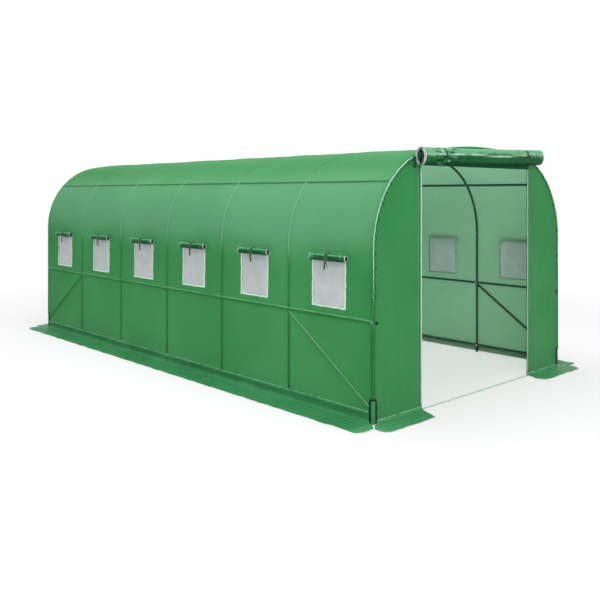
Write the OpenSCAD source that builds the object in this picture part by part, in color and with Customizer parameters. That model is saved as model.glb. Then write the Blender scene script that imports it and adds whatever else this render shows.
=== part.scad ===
// Polytunnel greenhouse: seven steel tube hoops joined by rails, under a reinforced
// cover with a rolled-up end door, mesh windows with rolled flaps and a ground skirt.
// Millimetres. X runs across the tunnel, Y from the door end to the back end and Z up.
// The origin is on the ground, under the middle of the tunnel.

/* [Tunnel] */
// Length over the two end walls
tunnel_length = 6000; // [4800:10:7200]
// Width over the two side walls
tunnel_width = 3000; // [2500:10:3600]
// Height of the straight part of the side walls
eaves_height = 1400; // [1150:10:1700]
// Radius of the cover where the walls bend over into the roof
haunch_radius = 840; // [700:5:1000]
// Rise of the crown above the top of the haunch radius
crown_rise = 55; // [20:1:110]
// Thickness of the cover and of the end walls
cover_thickness = 3; // [1:0.5:5]

/* [Frame] */
// Diameter of the frame tubes
tube_diameter = 25; // [19:0.5:32]
// Length of the collars where the tubes of a hoop plug together
collar_length = 24; // [10:1:30]
// Height that the collars stand out from the tube
collar_thickness = 1; // [0.5:0.5:3]
// Height of the base rail above the ground
base_rail_height = 80; // [50:1:95]
// Drop of the waist rail below the window sills
waist_rail_drop = 90; // [60:1:200]
// Angle of the upper rail round the haunch, up from the eaves
upper_rail_angle = 42; // [20:1:60]
// Height at which a corner brace meets the end hoop
brace_foot_height = 130; // [125:1:300]
// Drop from the waist rail to the head of a corner brace
brace_head_drop = 30; // [28:1:150]

/* [Door] */
// Clear width of the doorway
door_width = 1740; // [1200:10:1900]
// Drop from the crown to the head of the doorway
door_head_drop = 195; // [190:1:400]
// Distance of the upright posts outside the edges of the doorway
post_offset = 30; // [20:1:60]
// Width of the zips
zip_width = 12; // [6:1:30]
// Height that the zips stand out from the end wall
zip_thickness = 3; // [1:0.5:5]
// Width of the strip that crosses the ground in the doorway
threshold_width = 15; // [8:1:30]
// Radius of the rolled-up door
door_roll_radius = 78; // [50:1:90]
// Distance that the rolled-up door reaches past each edge of the doorway
door_roll_overhang = 115; // [20:5:200]
// Drop from the crown to the middle of the rolled-up door
door_roll_drop = 100; // [90:1:180]
// Distance of each tie strap of the door inside the edge of the doorway
door_tie_inset = 200; // [50:5:500]
// Width of the tie straps round the door
door_tie_width = 25; // [15:1:60]
// Thickness of the tie straps round the door
door_tie_thickness = 2; // [1:0.5:4]

/* [Windows] */
// Clear width of a window
window_width = 370; // [200:5:500]
// Clear height of a window
window_height = 400; // [200:5:500]
// Drop from the eaves to the head of a window
window_head_drop = 95; // [60:1:200]
// Width of the hem round a window
hem_width = 18; // [8:1:40]
// Thickness of the hem round a window
hem_thickness = 1.5; // [1:0.5:3]
// Thickness of the mesh screen
screen_thickness = 1.5; // [1:0.5:3]
// Overlap of the mesh screen behind the cover, all round a window
screen_overlap = 15; // [5:1:40]
// Radius of a rolled-up window flap
flap_roll_radius = 32; // [15:1:45]
// Distance that a rolled-up window flap reaches past each side of the hem
flap_roll_overhang = 22; // [0:1:60]
// Height of the middle of a flap roll above the window's head
flap_roll_rise = 10; // [-10:1:30]
// Width of a window tie
window_tie_width = 18; // [8:1:40]
// Thickness of a window tie
window_tie_thickness = 1.5; // [1:0.5:3]
// Distance of a window tie from the middle of its flap, towards the back
window_tie_offset = 30; // [-60:1:60]
// Length of the two loose tails of a window tie
tie_tail_length = 90; // [40:1:200]
// Width of one loose tail
tie_tail_width = 8; // [4:1:15]

/* [Corners and skirt] */
// Width of the slot at the foot of a corner, along each wall
slot_width = 40; // [30:1:80]
// Height of the slot at the foot of a corner
slot_height = 200; // [100:1:300]
// Width of the binding round a corner slot
binding_width = 8; // [4:1:20]
// Thickness of the binding round a corner slot
binding_thickness = 2; // [1:0.5:4]
// Width of the skirt along the side walls
side_skirt_width = 260; // [200:5:400]
// Width of the skirt along the end walls
end_skirt_width = 220; // [200:5:400]
// Thickness of the skirt
skirt_thickness = 3; // [1:0.5:5]
// Distance that each skirt runs out past a corner
skirt_flare = 80; // [20:1:90]
// Radius of the skirt's outer corners
skirt_corner_radius = 80; // [20:1:90]
// Clear gap between a skirt and the binding of a corner slot
skirt_slot_gap = 4; // [3:1:20]

/* [Hidden] */
$fn = 96;
// Facets of the large arcs and circles that shape the arch
arch_facets = 256;

// A hoop stands at each end and between the bays
bay_count = 6;
// Gap left between pieces that only rest against each other
fit_gap = 0.3;
// How far a cutting shape runs past the face that it cuts
cut_margin = 1;
// Sides of the tunnel, along X or along Y
LEFT = -1;
RIGHT = 1;
FRONT = -1;
BACK = 1;
BOTH = [-1, 1];

frame_green = "#1c5a38";
cover_green = "#3e9255";
roof_green = "#5aa673";
roll_green = "#2f8a4c";
skirt_green = "#328a58";
hem_white = "#cfe8d8";
screen_grey = "#b4b9c0";
binding_dark = "#0d2b1a";

half_width = tunnel_width / 2;
half_length = tunnel_length / 2;
half_door = door_width / 2;
tube_radius = tube_diameter / 2;
crown_height = eaves_height + haunch_radius + crown_rise;
door_height = crown_height - door_head_drop;
door_roll_length = door_width + 2 * door_roll_overhang;
door_tie_offset = half_door - door_tie_inset;

// The arch is one straight wall, one haunch arc and half of a flatter crown arc on each side.
// The crown arc meets the haunch arc with no kink, which fixes the angle between them.
haunch_centre = half_width - haunch_radius;
haunch_sweep = 90 - 2 * atan(crown_rise / haunch_centre);
crown_half_sweep = 90 - haunch_sweep;
crown_radius = haunch_centre / cos(haunch_sweep) + haunch_radius;
crown_centre = crown_height - crown_radius;

// The centre lines of the frame tubes lie this far inside the cover's outer face.
frame_inset = cover_thickness + fit_gap + collar_thickness + tube_radius;
frame_side = half_width - frame_inset;
hoop_pitch = 2 * (half_length - frame_inset) / bay_count;
// A rail runs from hoop to hoop, so it stops short of each one's centre line by this much.
rail_setback = tube_radius + fit_gap;

window_head = eaves_height - window_head_drop;
window_sill = window_head - window_height;
waist_rail_height = window_sill - waist_rail_drop;
flap_roll_height = window_head + flap_roll_rise;
flap_roll_length = window_width + 2 * (hem_width + flap_roll_overhang);
flap_roll_side = half_width + hem_thickness + window_tie_thickness + 2 * fit_gap + flap_roll_radius;
door_roll_front = half_length + door_tie_thickness + 2 * fit_gap + door_roll_radius;

// A skirt leaves the wall this far short of a corner.
skirt_end_gap = slot_width + binding_width + skirt_slot_gap;

function hoop_y(number) = (number - 1 - bay_count / 2) * hoop_pitch;
function window_y(bay) = (bay - (bay_count + 1) / 2) * hoop_pitch;
function arc_points(centre, radius, from, to, steps = 12) = [
    for (i = [0:steps])
        centre + radius * [cos(from + (to - from) * i / steps), sin(from + (to - from) * i / steps)]
];
// Height of the underside of a hoop at a distance across the tunnel
function hoop_underside(x) =
    let (inner = haunch_radius - frame_inset - tube_radius)
    abs(x) > haunch_centre + inner * cos(haunch_sweep)
        ? eaves_height + sqrt(inner ^ 2 - (abs(x) - haunch_centre) ^ 2)
        : crown_centre + sqrt((crown_radius - frame_inset - tube_radius) ^ 2 - x ^ 2);

// ---- Frame ----

// Turns a shape drawn in X and Y upright, into X and Z, with its height running forwards
module upright() {
    rotate([90, 0, 0]) children();
}

// A collar round a tube that runs along Z
module collar() {
    cylinder(r = tube_radius + collar_thickness, h = collar_length, center = true);
}

// One hoop: two legs, two haunch bends and the crown tube, plugged together at collars
module hoop(number) {
    bend_radius = haunch_radius - frame_inset;
    color(frame_green) translate([0, hoop_y(number), 0]) {
        for (side = BOTH) mirror([side < 0 ? 1 : 0, 0, 0]) {
            translate([frame_side, 0, 0]) cylinder(r = tube_radius, h = eaves_height);
            translate([frame_side, 0, eaves_height]) collar();
            translate([haunch_centre, 0, eaves_height]) upright() {
                rotate_extrude(angle = haunch_sweep)
                    translate([bend_radius, 0]) circle(r = tube_radius);
                rotate([0, 0, haunch_sweep]) translate([bend_radius, 0]) rotate([90, 0, 0]) collar();
            }
            translate([0, 0, crown_centre]) upright()
                rotate_extrude(angle = crown_half_sweep, start = 90, $fn = arch_facets)
                    translate([crown_radius - frame_inset, 0]) circle(r = tube_radius, $fn = 96);
        }
    }
}

// A row of tubes along the tunnel, one in each bay
module rail(x, z) {
    color(frame_green)
        for (bay = [1:bay_count])
            translate([x, hoop_y(bay) + rail_setback, z]) rotate([-90, 0, 0])
                cylinder(r = tube_radius, h = hoop_pitch - 2 * rail_setback);
}

module ridge_rail() {
    rail(0, crown_height - frame_inset);
}

module upper_rail(side) {
    reach = haunch_radius - frame_inset;
    rail(side * (haunch_centre + reach * cos(upper_rail_angle)),
         eaves_height + reach * sin(upper_rail_angle));
}

// Sloping braces in the two end bays, each from the foot of the end hoop up to the next hoop
module corner_braces(side) {
    rise = waist_rail_height - brace_head_drop - brace_foot_height;
    slope = atan(rise / (hoop_pitch - 2 * tube_diameter));
    end_setback = rail_setback + tube_radius * sin(slope);
    run = hoop_pitch - 2 * end_setback;
    color(frame_green)
        for (end = BOTH)
            mirror([0, end > 0 ? 1 : 0, 0])
                translate([side * frame_side, hoop_y(1) + end_setback, brace_foot_height])
                    rotate([atan2(rise, run) - 90, 0, 0])
                        cylinder(r = tube_radius, h = norm([run, rise]));
}

// Two uprights beside the doorway of one end wall, from the ground to the end hoop
module door_posts(end) {
    post_x = half_door + post_offset;
    color(frame_green)
        for (side = BOTH)
            translate([side * post_x, end * hoop_y(bay_count + 1), 0])
                cylinder(r = tube_radius, h = hoop_underside(post_x + tube_radius) - fit_gap);
}

// ---- Cover ----

// The notch that a corner slot cuts out of the side walls and the end walls
module corner_notches() {
    for (side = BOTH, end = BOTH)
        mirror([side < 0 ? 1 : 0, 0, 0]) mirror([0, end < 0 ? 1 : 0, 0])
            translate([half_width - slot_width, half_length - slot_width, -cut_margin])
                cube([slot_width + cut_margin, slot_width + cut_margin, slot_height + cut_margin]);
}

// A straight side wall between the end walls, with its windows cut out
module wall_cover(side) {
    length = tunnel_length - 2 * cover_thickness;
    color(cover_green) mirror([side < 0 ? 1 : 0, 0, 0]) difference() {
        translate([half_width - cover_thickness, -length / 2, 0])
            cube([cover_thickness, length, eaves_height]);
        for (bay = [1:bay_count])
            translate([half_width - cover_thickness - cut_margin, window_y(bay) - window_width / 2, window_sill])
                cube([cover_thickness + 2 * cut_margin, window_width, window_height]);
        corner_notches();
    }
}

// A curved strip of the cover along the whole tunnel
module cover_arc(centre, radius, from, sweep) {
    length = tunnel_length - 2 * cover_thickness;
    translate([centre[0], length / 2, centre[1]]) upright()
        rotate_extrude(angle = sweep, start = from, $fn = arch_facets)
            translate([radius - cover_thickness, 0]) square([cover_thickness, length]);
}

module haunch_cover(side) {
    color(roof_green) mirror([side < 0 ? 1 : 0, 0, 0])
        cover_arc([haunch_centre, eaves_height], haunch_radius, 0, haunch_sweep);
}

module crown_cover() {
    color(roof_green)
        for (side = BOTH)
            mirror([side < 0 ? 1 : 0, 0, 0]) cover_arc([0, crown_centre], crown_radius, 90, crown_half_sweep);
}

// The outline of an end wall, from the ground up to the arch
module arch_outline() {
    crown_half = haunch_centre + haunch_radius * cos(haunch_sweep);
    translate([-half_width, 0]) square([tunnel_width, eaves_height]);
    for (side = BOTH)
        translate([side * haunch_centre, eaves_height]) circle(r = haunch_radius, $fn = arch_facets);
    intersection() {
        translate([0, crown_centre]) circle(r = crown_radius, $fn = arch_facets);
        translate([-crown_half, eaves_height]) square([2 * crown_half, haunch_radius + crown_rise]);
    }
}

// The part of an end wall that lies inside a box given across and up
module end_wall(end, low, high) {
    color(cover_green) difference() {
        translate([0, end > 0 ? half_length : cover_thickness - half_length, 0]) upright()
            linear_extrude(cover_thickness) intersection() {
                arch_outline();
                translate(low) square(high - low);
            }
        corner_notches();
    }
}

module end_panel(end, side) {
    edge = [side < 0 ? -half_width : half_door, 0];
    end_wall(end, edge, [edge[0] + half_width - half_door, crown_height]);
}

module end_header(end) {
    end_wall(end, [-half_door, door_height], [half_door, crown_height]);
}

// The door of the back end, closed
module back_door() {
    end_wall(BACK, [-half_door, 0], [half_door, door_height]);
}

// The door of the front end, rolled up and tied under the crown
module front_door_roll() {
    color(roll_green)
        translate([-door_roll_length / 2, -door_roll_front, crown_height - door_roll_drop])
            rotate([0, 90, 0]) cylinder(r = door_roll_radius, h = door_roll_length);
}

// A flat band round a roll, centred on its own width
module band(inner, thickness, width) {
    translate([0, 0, -width / 2]) difference() {
        cylinder(r = inner + thickness, h = width);
        translate([0, 0, -cut_margin]) cylinder(r = inner, h = width + 2 * cut_margin);
    }
}

module front_door_ties() {
    color(roll_green)
        for (side = BOTH)
            translate([side * door_tie_offset, -door_roll_front, crown_height - door_roll_drop])
                rotate([0, 90, 0]) band(door_roll_radius + fit_gap, door_tie_thickness, door_tie_width);
}

// Zips up both edges of each doorway, on the outer face of the end walls
module door_zips() {
    bottom = skirt_thickness + fit_gap;
    color(hem_white)
        for (side = BOTH, end = BOTH)
            mirror([side < 0 ? 1 : 0, 0, 0]) mirror([0, end < 0 ? 1 : 0, 0])
                translate([half_door, half_length, bottom])
                    cube([zip_width, zip_thickness, door_height - bottom]);
}

// The pale strip across the ground in the open doorway
module door_threshold() {
    color(hem_white) translate([-half_door, -half_length, 0])
        cube([door_width, threshold_width, cover_thickness]);
}

// ---- Windows ----

// Puts a copy of a shape at the middle of each window of one wall's outer face,
// with X pointing out of the wall and the origin at the height of the sill
module at_windows(side) {
    mirror([side < 0 ? 1 : 0, 0, 0])
        for (bay = [1:bay_count])
            translate([half_width, window_y(bay), window_sill]) children();
}

module window_screens(side) {
    color(screen_grey) at_windows(side)
        translate([-cover_thickness - screen_thickness, -window_width / 2 - screen_overlap, -screen_overlap])
            cube([screen_thickness, window_width + 2 * screen_overlap, window_height + 2 * screen_overlap]);
}

module window_hems() {
    color(hem_white)
        for (side = BOTH)
            at_windows(side) difference() {
                translate([0, -window_width / 2 - hem_width, -hem_width])
                    cube([hem_thickness, window_width + 2 * hem_width, window_height + 2 * hem_width]);
                translate([-cut_margin, -window_width / 2, 0])
                    cube([hem_thickness + 2 * cut_margin, window_width, window_height]);
            }
}

module at_flap_rolls(side) {
    at_windows(side)
        translate([flap_roll_side - half_width, 0, flap_roll_height - window_sill]) children();
}

module window_flaps(side) {
    color(roll_green) at_flap_rolls(side)
        translate([0, -flap_roll_length / 2, 0]) rotate([-90, 0, 0])
            cylinder(r = flap_roll_radius, h = flap_roll_length);
}

// A band round each flap roll, with two loose tails hanging from it
module window_ties() {
    band_bottom = flap_roll_radius + fit_gap + window_tie_thickness;
    tail_spread = window_tie_width / 2 - tie_tail_width;
    color(roll_green)
        for (side = BOTH)
            at_flap_rolls(side) translate([0, window_tie_offset, 0]) {
                rotate([-90, 0, 0])
                    band(flap_roll_radius + fit_gap, window_tie_thickness, window_tie_width);
                for (tail = [-tail_spread - tie_tail_width, tail_spread])
                    translate([-window_tie_thickness / 2, tail, -band_bottom - tie_tail_length])
                        cube([window_tie_thickness, tie_tail_width, tie_tail_length + window_tie_thickness / 2]);
            }
}

// ---- Corners and skirt ----

// The dark binding round the slot at the foot of each corner, from just above the skirt
module corner_bindings() {
    reach = slot_width + binding_width;
    foot = skirt_thickness + fit_gap;
    color(binding_dark)
        for (side = BOTH, end = BOTH)
            mirror([side < 0 ? 1 : 0, 0, 0]) mirror([0, end < 0 ? 1 : 0, 0]) difference() {
                translate([half_width - reach, half_length - reach, foot])
                    cube([reach + binding_thickness, reach + binding_thickness,
                          slot_height + binding_width - foot]);
                cube([half_width, half_length, eaves_height]);
                translate([half_width - slot_width, half_length - slot_width, -cut_margin])
                    cube([reach, reach, slot_height + cut_margin]);
            }
}

// One end of a skirt in plan, as points that go from the wall outwards. The wall lies along
// X and ends at the given place, and the skirt runs out past it with a rounded outer corner.
// The corner's radius is limited by what the sloping end leaves of the width.
function skirt_end(wall_end, width) =
    let (slope_out = skirt_flare + skirt_end_gap)
    let (radius = min(skirt_corner_radius, width - slope_out - 1))
    concat(
        [[wall_end - skirt_end_gap, 0], [wall_end + skirt_flare, slope_out]],
        arc_points([wall_end + skirt_flare - radius, width - radius], radius, 0, 90)
    );

function mirrored(points) = [for (i = [len(points) - 1:-1:0]) [-points[i][0], points[i][1]]];

// A skirt flat on the ground, from its plan
module skirt(plan) {
    color(skirt_green) linear_extrude(skirt_thickness) polygon(plan);
}

module side_skirt(side) {
    outline = skirt_end(half_length, side_skirt_width);
    translate([side * half_width, 0, 0]) rotate([0, 0, -side * 90])
        skirt(concat(outline, mirrored(outline)));
}

// The two skirts of an end wall, one on each side of the doorway
module end_skirts(end) {
    door_side = [[half_door, end_skirt_width], [half_door, 0]];
    for (side = BOTH)
        mirror([side < 0 ? 1 : 0, 0, 0]) mirror([0, end < 0 ? 1 : 0, 0])
            translate([0, half_length, 0])
                skirt(concat(skirt_end(half_width, end_skirt_width), door_side));
}

hoop(1);  // hoop_1
hoop(2);  // hoop_2
hoop(3);  // hoop_3
hoop(4);  // hoop_4
hoop(5);  // hoop_5
hoop(6);  // hoop_6
hoop(7);  // hoop_7
ridge_rail();
upper_rail(LEFT);  // upper_rail_left
upper_rail(RIGHT);  // upper_rail_right
rail(LEFT * frame_side, waist_rail_height);  // waist_rail_left
rail(RIGHT * frame_side, waist_rail_height);  // waist_rail_right
rail(LEFT * frame_side, base_rail_height);  // base_rail_left
rail(RIGHT * frame_side, base_rail_height);  // base_rail_right
corner_braces(LEFT);  // corner_braces_left
corner_braces(RIGHT);  // corner_braces_right
door_posts(FRONT);  // front_door_posts
door_posts(BACK);  // back_door_posts
wall_cover(LEFT);  // wall_cover_left
wall_cover(RIGHT);  // wall_cover_right
haunch_cover(LEFT);  // haunch_cover_left
haunch_cover(RIGHT);  // haunch_cover_right
crown_cover();
end_panel(FRONT, LEFT);  // front_panel_left
end_panel(FRONT, RIGHT);  // front_panel_right
end_header(FRONT);  // front_header
end_panel(BACK, LEFT);  // back_panel_left
end_panel(BACK, RIGHT);  // back_panel_right
end_header(BACK);  // back_header
back_door();
front_door_roll();
front_door_ties();
door_zips();
door_threshold();
side_skirt(LEFT);  // skirt_left
side_skirt(RIGHT);  // skirt_right
end_skirts(FRONT);  // front_skirts
end_skirts(BACK);  // back_skirts
window_screens(LEFT);  // window_screens_left
window_screens(RIGHT);  // window_screens_right
window_flaps(LEFT);  // window_flaps_left
window_flaps(RIGHT);  // window_flaps_right
window_hems();
window_ties();
corner_bindings();
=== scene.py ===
import math

import bpy
import numpy as np
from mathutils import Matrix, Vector


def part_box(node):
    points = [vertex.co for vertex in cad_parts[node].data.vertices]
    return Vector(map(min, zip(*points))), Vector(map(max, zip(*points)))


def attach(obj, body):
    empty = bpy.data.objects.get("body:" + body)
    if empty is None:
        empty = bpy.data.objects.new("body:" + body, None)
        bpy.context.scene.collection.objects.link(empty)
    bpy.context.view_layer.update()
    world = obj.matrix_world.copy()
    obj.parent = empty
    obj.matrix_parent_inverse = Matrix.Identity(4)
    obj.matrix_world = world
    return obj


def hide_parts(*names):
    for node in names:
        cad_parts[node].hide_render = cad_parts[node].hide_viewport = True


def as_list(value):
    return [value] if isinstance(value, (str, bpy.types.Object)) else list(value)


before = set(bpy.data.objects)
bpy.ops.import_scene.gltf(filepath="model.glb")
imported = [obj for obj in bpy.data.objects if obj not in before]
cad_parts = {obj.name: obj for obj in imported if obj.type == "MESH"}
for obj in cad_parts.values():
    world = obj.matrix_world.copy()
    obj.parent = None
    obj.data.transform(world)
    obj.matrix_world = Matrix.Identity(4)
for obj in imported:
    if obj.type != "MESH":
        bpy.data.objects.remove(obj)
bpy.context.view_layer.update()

# ---- The tunnel's sizes, in metres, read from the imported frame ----

LEFT, RIGHT = -1, 1
FRONT, BACK = -1, 1
SIDE_NAMES = {LEFT: "left", RIGHT: "right"}
END_NAMES = {FRONT: "front", BACK: "back"}
CORNERS = [(side, end) for side in (LEFT, RIGHT) for end in (FRONT, BACK)]
X, Y, Z = 0, 1, 2


def middle(node, axis):
    """The middle of a node's box along one axis"""
    low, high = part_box(node)
    return (low[axis] + high[axis]) / 2


HALF_WIDTH = -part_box("wall_cover_left")[0].x
HALF_LENGTH = -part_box("front_header")[0].y
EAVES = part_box("wall_cover_left")[1].z
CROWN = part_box("crown_cover")[1].z
HOOPS = np.array([middle(f"hoop_{number}", Y) for number in range(1, 8)])
BAY_LENGTH = HOOPS[1] - HOOPS[0]
TUBE_RADIUS = 0.0125
TUBE_LINE = -middle("waist_rail_left", X)
WAIST_RAIL = middle("waist_rail_left", Z)
BASE_RAIL = middle("base_rail_left", Z)
HALF_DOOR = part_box("front_header")[1].x
DOOR_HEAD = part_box("front_header")[0].z
PANEL_WIDTH = HALF_WIDTH - HALF_DOOR
POST_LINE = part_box("front_door_posts")[1].x - TUBE_RADIUS
BRACE_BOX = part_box("corner_braces_left")
BRACE_LOW, BRACE_HIGH = BRACE_BOX[0].z + 0.012, BRACE_BOX[1].z - 0.012

# The haunch is an arc of this radius, and a flatter arc makes the crown.
HAUNCH_RADIUS = 0.84
HAUNCH_MIDDLE = HALF_WIDTH - HAUNCH_RADIUS
CROWN_TURN = 2 * math.atan((CROWN - EAVES - HAUNCH_RADIUS) / HAUNCH_MIDDLE)
CROWN_RADIUS = HAUNCH_MIDDLE / math.sin(CROWN_TURN) + HAUNCH_RADIUS
CROWN_RUN = CROWN_RADIUS * CROWN_TURN
HAUNCH_RUN = HAUNCH_RADIUS * (math.pi / 2 - CROWN_TURN)
ARCH_RUN = CROWN_RUN + HAUNCH_RUN + EAVES
UPPER_RAIL_TURN = math.atan2(middle("upper_rail_right", X) - HAUNCH_MIDDLE,
                             middle("upper_rail_right", Z) - EAVES)
UPPER_RAIL_RUN = CROWN_RUN + HAUNCH_RADIUS * (UPPER_RAIL_TURN - CROWN_TURN)
RAIL_RUNS = np.array([-ARCH_RUN + BASE_RAIL, -ARCH_RUN + WAIST_RAIL, -UPPER_RAIL_RUN, 0,
                      UPPER_RAIL_RUN, ARCH_RUN - WAIST_RAIL, ARCH_RUN - BASE_RAIL])

HEM = 0.018
SILL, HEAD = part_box("window_hems")[0].z + HEM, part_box("window_hems")[1].z - HEM
WINDOW_HALF = 0.185
WINDOWS = (HOOPS[:-1] + HOOPS[1:]) / 2
SLOT_WIDTH, SLOT_HEIGHT = 0.040, 0.200
# The sheet is this thick, and where it lies on a tube its face is this far inside the arch line.
SHEET, ROLLED_SHEET = 0.0015, 0.0013
TUBE_REST = 0.0026


# ---- Nodes for materials and for repeated fittings ----

class Wire:
    """One output of a node, so that a sum written on it adds the Math nodes"""

    def __init__(self, bench, socket):
        self.bench, self.socket = bench, socket

    def __getitem__(self, name):
        return Wire(self.bench, self.bench.find(self.socket.node.outputs, name))

    def maths(self, operation, *others):
        plugs = {0: self, **{place + 1: other for place, other in enumerate(others)}}
        return self.bench.add("ShaderNodeMath", {"operation": operation}, plugs)

    def __add__(self, other):
        return self.maths("ADD", other)

    def __sub__(self, other):
        return self.maths("SUBTRACT", other)

    def __mul__(self, other):
        return self.maths("MULTIPLY", other)

    def __truediv__(self, other):
        return self.maths("DIVIDE", other)

    def __rsub__(self, other):
        return self.bench.add("ShaderNodeMath", {"operation": "SUBTRACT"}, {0: other, 1: self})

    __radd__, __rmul__ = __add__, __mul__

    def __abs__(self):
        return self.maths("ABSOLUTE")

    def sine(self):
        return self.maths("SINE")

    def rounded(self):
        return self.maths("ROUND")

    def rise(self, low, high):
        """0 below low, 1 above high and a smooth step between them"""
        return self.bench.add("ShaderNodeMapRange", {"interpolation_type": "SMOOTHSTEP"},
                              {"Value": self, "From Min": low, "From Max": high})

    def near(self, place, reach, soft):
        """1 within reach of a place, falling to 0 over the soft distance beyond it"""
        return 1 - abs(self - place).rise(reach, reach + soft)


class Bench:
    """Adds nodes to one material or one geometry tree"""

    def __init__(self, tree):
        self.tree = tree

    def find(self, sockets, name):
        if isinstance(name, int):
            return sockets[name]
        return next((s for s in sockets if s.identifier == name), None) or sockets[name]

    def add(self, kind, settings=None, plugs=None, out=0):
        node = self.tree.nodes.new(kind)
        for name, value in (settings or {}).items():
            setattr(node, name, value)
        for name, value in (plugs or {}).items():
            socket = self.find(node.inputs, name)
            if isinstance(value, (Wire, list)):
                for wire in value if isinstance(value, list) else [value]:
                    self.tree.links.new(wire.socket, socket)
            else:
                socket.default_value = value
        return Wire(self, self.find(node.outputs, out)) if node.outputs else node

    def blend(self, mask, first, second):
        """The first colour where the mask is 0 and the second where it is 1"""
        first, second = (colour if isinstance(colour, Wire) else (*colour, 1) for colour in (first, second))
        return self.add("ShaderNodeMix", {"data_type": "RGBA"},
                        {"Factor_Float": mask, "A_Color": first, "B_Color": second}, "Result_Color")

    def coats(self, ground, *layers):
        """A ground colour under layers of mask and colour, the last one on top"""
        for mask, colour in layers:
            ground = self.blend(mask, ground, colour)
        return ground

    def noise(self, vector, scale, detail=2.0, roughness=0.5):
        """Cloudy noise from 0 to 1, with scale spots to a metre or so"""
        return self.add("ShaderNodeTexNoise", {},
                        {"Vector": vector, "Scale": scale, "Detail": detail, "Roughness": roughness})

    def stretched(self, vector, scale):
        """Coordinates scaled unevenly, so that the noise on them is drawn out"""
        return self.add("ShaderNodeMapping", {}, {"Vector": vector, "Scale": scale})

    def bump(self, height, distance):
        """A normal bent by this height, whose step from 0 to 1 is the distance"""
        return self.add("ShaderNodeBump", {}, {"Height": height, "Distance": distance})


class Finish(Bench):
    """A material under construction, with the coordinates that it may read"""

    def __init__(self, name):
        self.material = bpy.data.materials.new(name)
        self.material.use_nodes = True
        super().__init__(self.material.node_tree)
        self.tree.nodes.clear()
        places = self.add("ShaderNodeTexCoord")
        self.place, self.cloth = places["Object"], places["UV"]
        split = self.add("ShaderNodeSeparateXYZ", {}, {0: self.place})
        self.x, self.y, self.z = split["X"], split["Y"], split["Z"]
        warp = self.add("ShaderNodeSeparateXYZ", {}, {0: self.cloth})
        self.run, self.cross = warp["X"], warp["Y"]

    def attribute(self, name):
        """A value that a builder stored on the mesh's points"""
        return self.add("ShaderNodeAttribute", {"attribute_name": name}, out="Fac")

    def waves(self, along, pitch):
        """Even waves of this pitch along one of the cloth's directions"""
        return (along * (2 * math.pi / pitch)).sine()

    def weave(self, run_pitch, cross_pitch):
        """Flat tapes woven over and under each other, as a height from -1 to 1"""
        return self.waves(self.run, run_pitch) * self.waves(self.cross, cross_pitch)

    def done(self, through=None, light_colour=None, holes=None, **surface):
        """Ends the material. through is the share of light that shines through, and holes the open share."""
        plugs = {name.replace("_", " "): value for name, value in surface.items()}
        shader = self.add("ShaderNodeBsdfPrincipled", {}, plugs)
        if through:
            glow = self.add("ShaderNodeBsdfTranslucent", {}, {"Color": (*light_colour, 1)})
            shader = self.add("ShaderNodeMixShader", {}, {0: through, 1: shader, 2: glow})
        if holes:
            clear = self.add("ShaderNodeBsdfTransparent")
            shader = self.add("ShaderNodeMixShader", {}, {0: holes, 1: shader, 2: clear})
        self.add("ShaderNodeOutputMaterial", {}, {"Surface": shader})
        return self.material


# ---- Finishes ----

SHEET_GREEN = (0.010, 0.205, 0.030)
SHEET_PALE = (0.022, 0.250, 0.052)
# Painted sheen: paler greens laid over the haunches where the light falls on them
SHEEN_GREEN = (0.098, 0.318, 0.148)
SHEEN_PALE = (0.120, 0.354, 0.170)
# Painted shade for the crown
CROWN_SHADE_GREEN = (0.002, 0.160, 0.022)
# Painted highlight green, for light lines over tubes, seams and the tops of folds
HIGHLIGHT_GREEN = (0.300, 0.640, 0.400)
# Painted shade green, for shaded lines in creases, hollows and beside tubes
SHADE_GREEN = (0.010, 0.100, 0.030)
POST_SHADE = (0.014, 0.165, 0.070)
# Painted highlight for the top of the end walls
PEAK_HIGHLIGHT_GREEN = (0.160, 0.450, 0.230)
FOLD_SHADE = (0.002, 0.030, 0.010)
HOLLOW_SHADE = (0.002, 0.034, 0.012)
# Painted highlights for the rolls
CREST_HIGHLIGHT_GREEN = (0.220, 0.540, 0.320)
LOOSE_END_HIGHLIGHT_GREEN = (0.190, 0.480, 0.270)
GLINT_GREEN = (0.50, 0.80, 0.60)
DUST = (0.150, 0.200, 0.110)
SHINE_THROUGH = (0.42, 0.82, 0.55)


def sheet_grounds(cloth, dark, pale):
    """The sheet's own colour, a little uneven, with the fine check of its reinforcing tapes"""
    cloudy = cloth.noise(cloth.place, 1.7, 3.0)
    ground = cloth.blend(cloudy.rise(0.30, 0.72), dark, pale)
    blotch = cloth.noise(cloth.place, 13.0, 3.0).rise(0.35, 0.70)
    ground = cloth.blend(blotch * 0.28, ground, tuple(0.78 * channel for channel in dark))
    tapes = (abs(cloth.waves(cloth.run, 0.020)).rise(0.93, 1.0)
             + abs(cloth.waves(cloth.cross, 0.020)).rise(0.93, 1.0))
    return cloth.blend(tapes * 0.10, ground, tuple(1.5 * channel for channel in pale)), tapes


def sheet_relief(cloth, tapes, creased=1.0):
    """Weave, tapes and small creases, as a bumped normal"""
    long_creases = cloth.noise(cloth.stretched(cloth.cloth, (5.0, 14.0, 1.0)), 1.0, 3.0)
    short_creases = cloth.noise(cloth.stretched(cloth.cloth, (34.0, 22.0, 1.0)), 1.0, 2.0)
    height = (long_creases * (5.0 * creased) + short_creases * (1.6 * creased)
              + cloth.weave(0.0032, 0.0032) * 0.05 + tapes * 0.08)
    return cloth.bump(height, 0.001)


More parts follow.
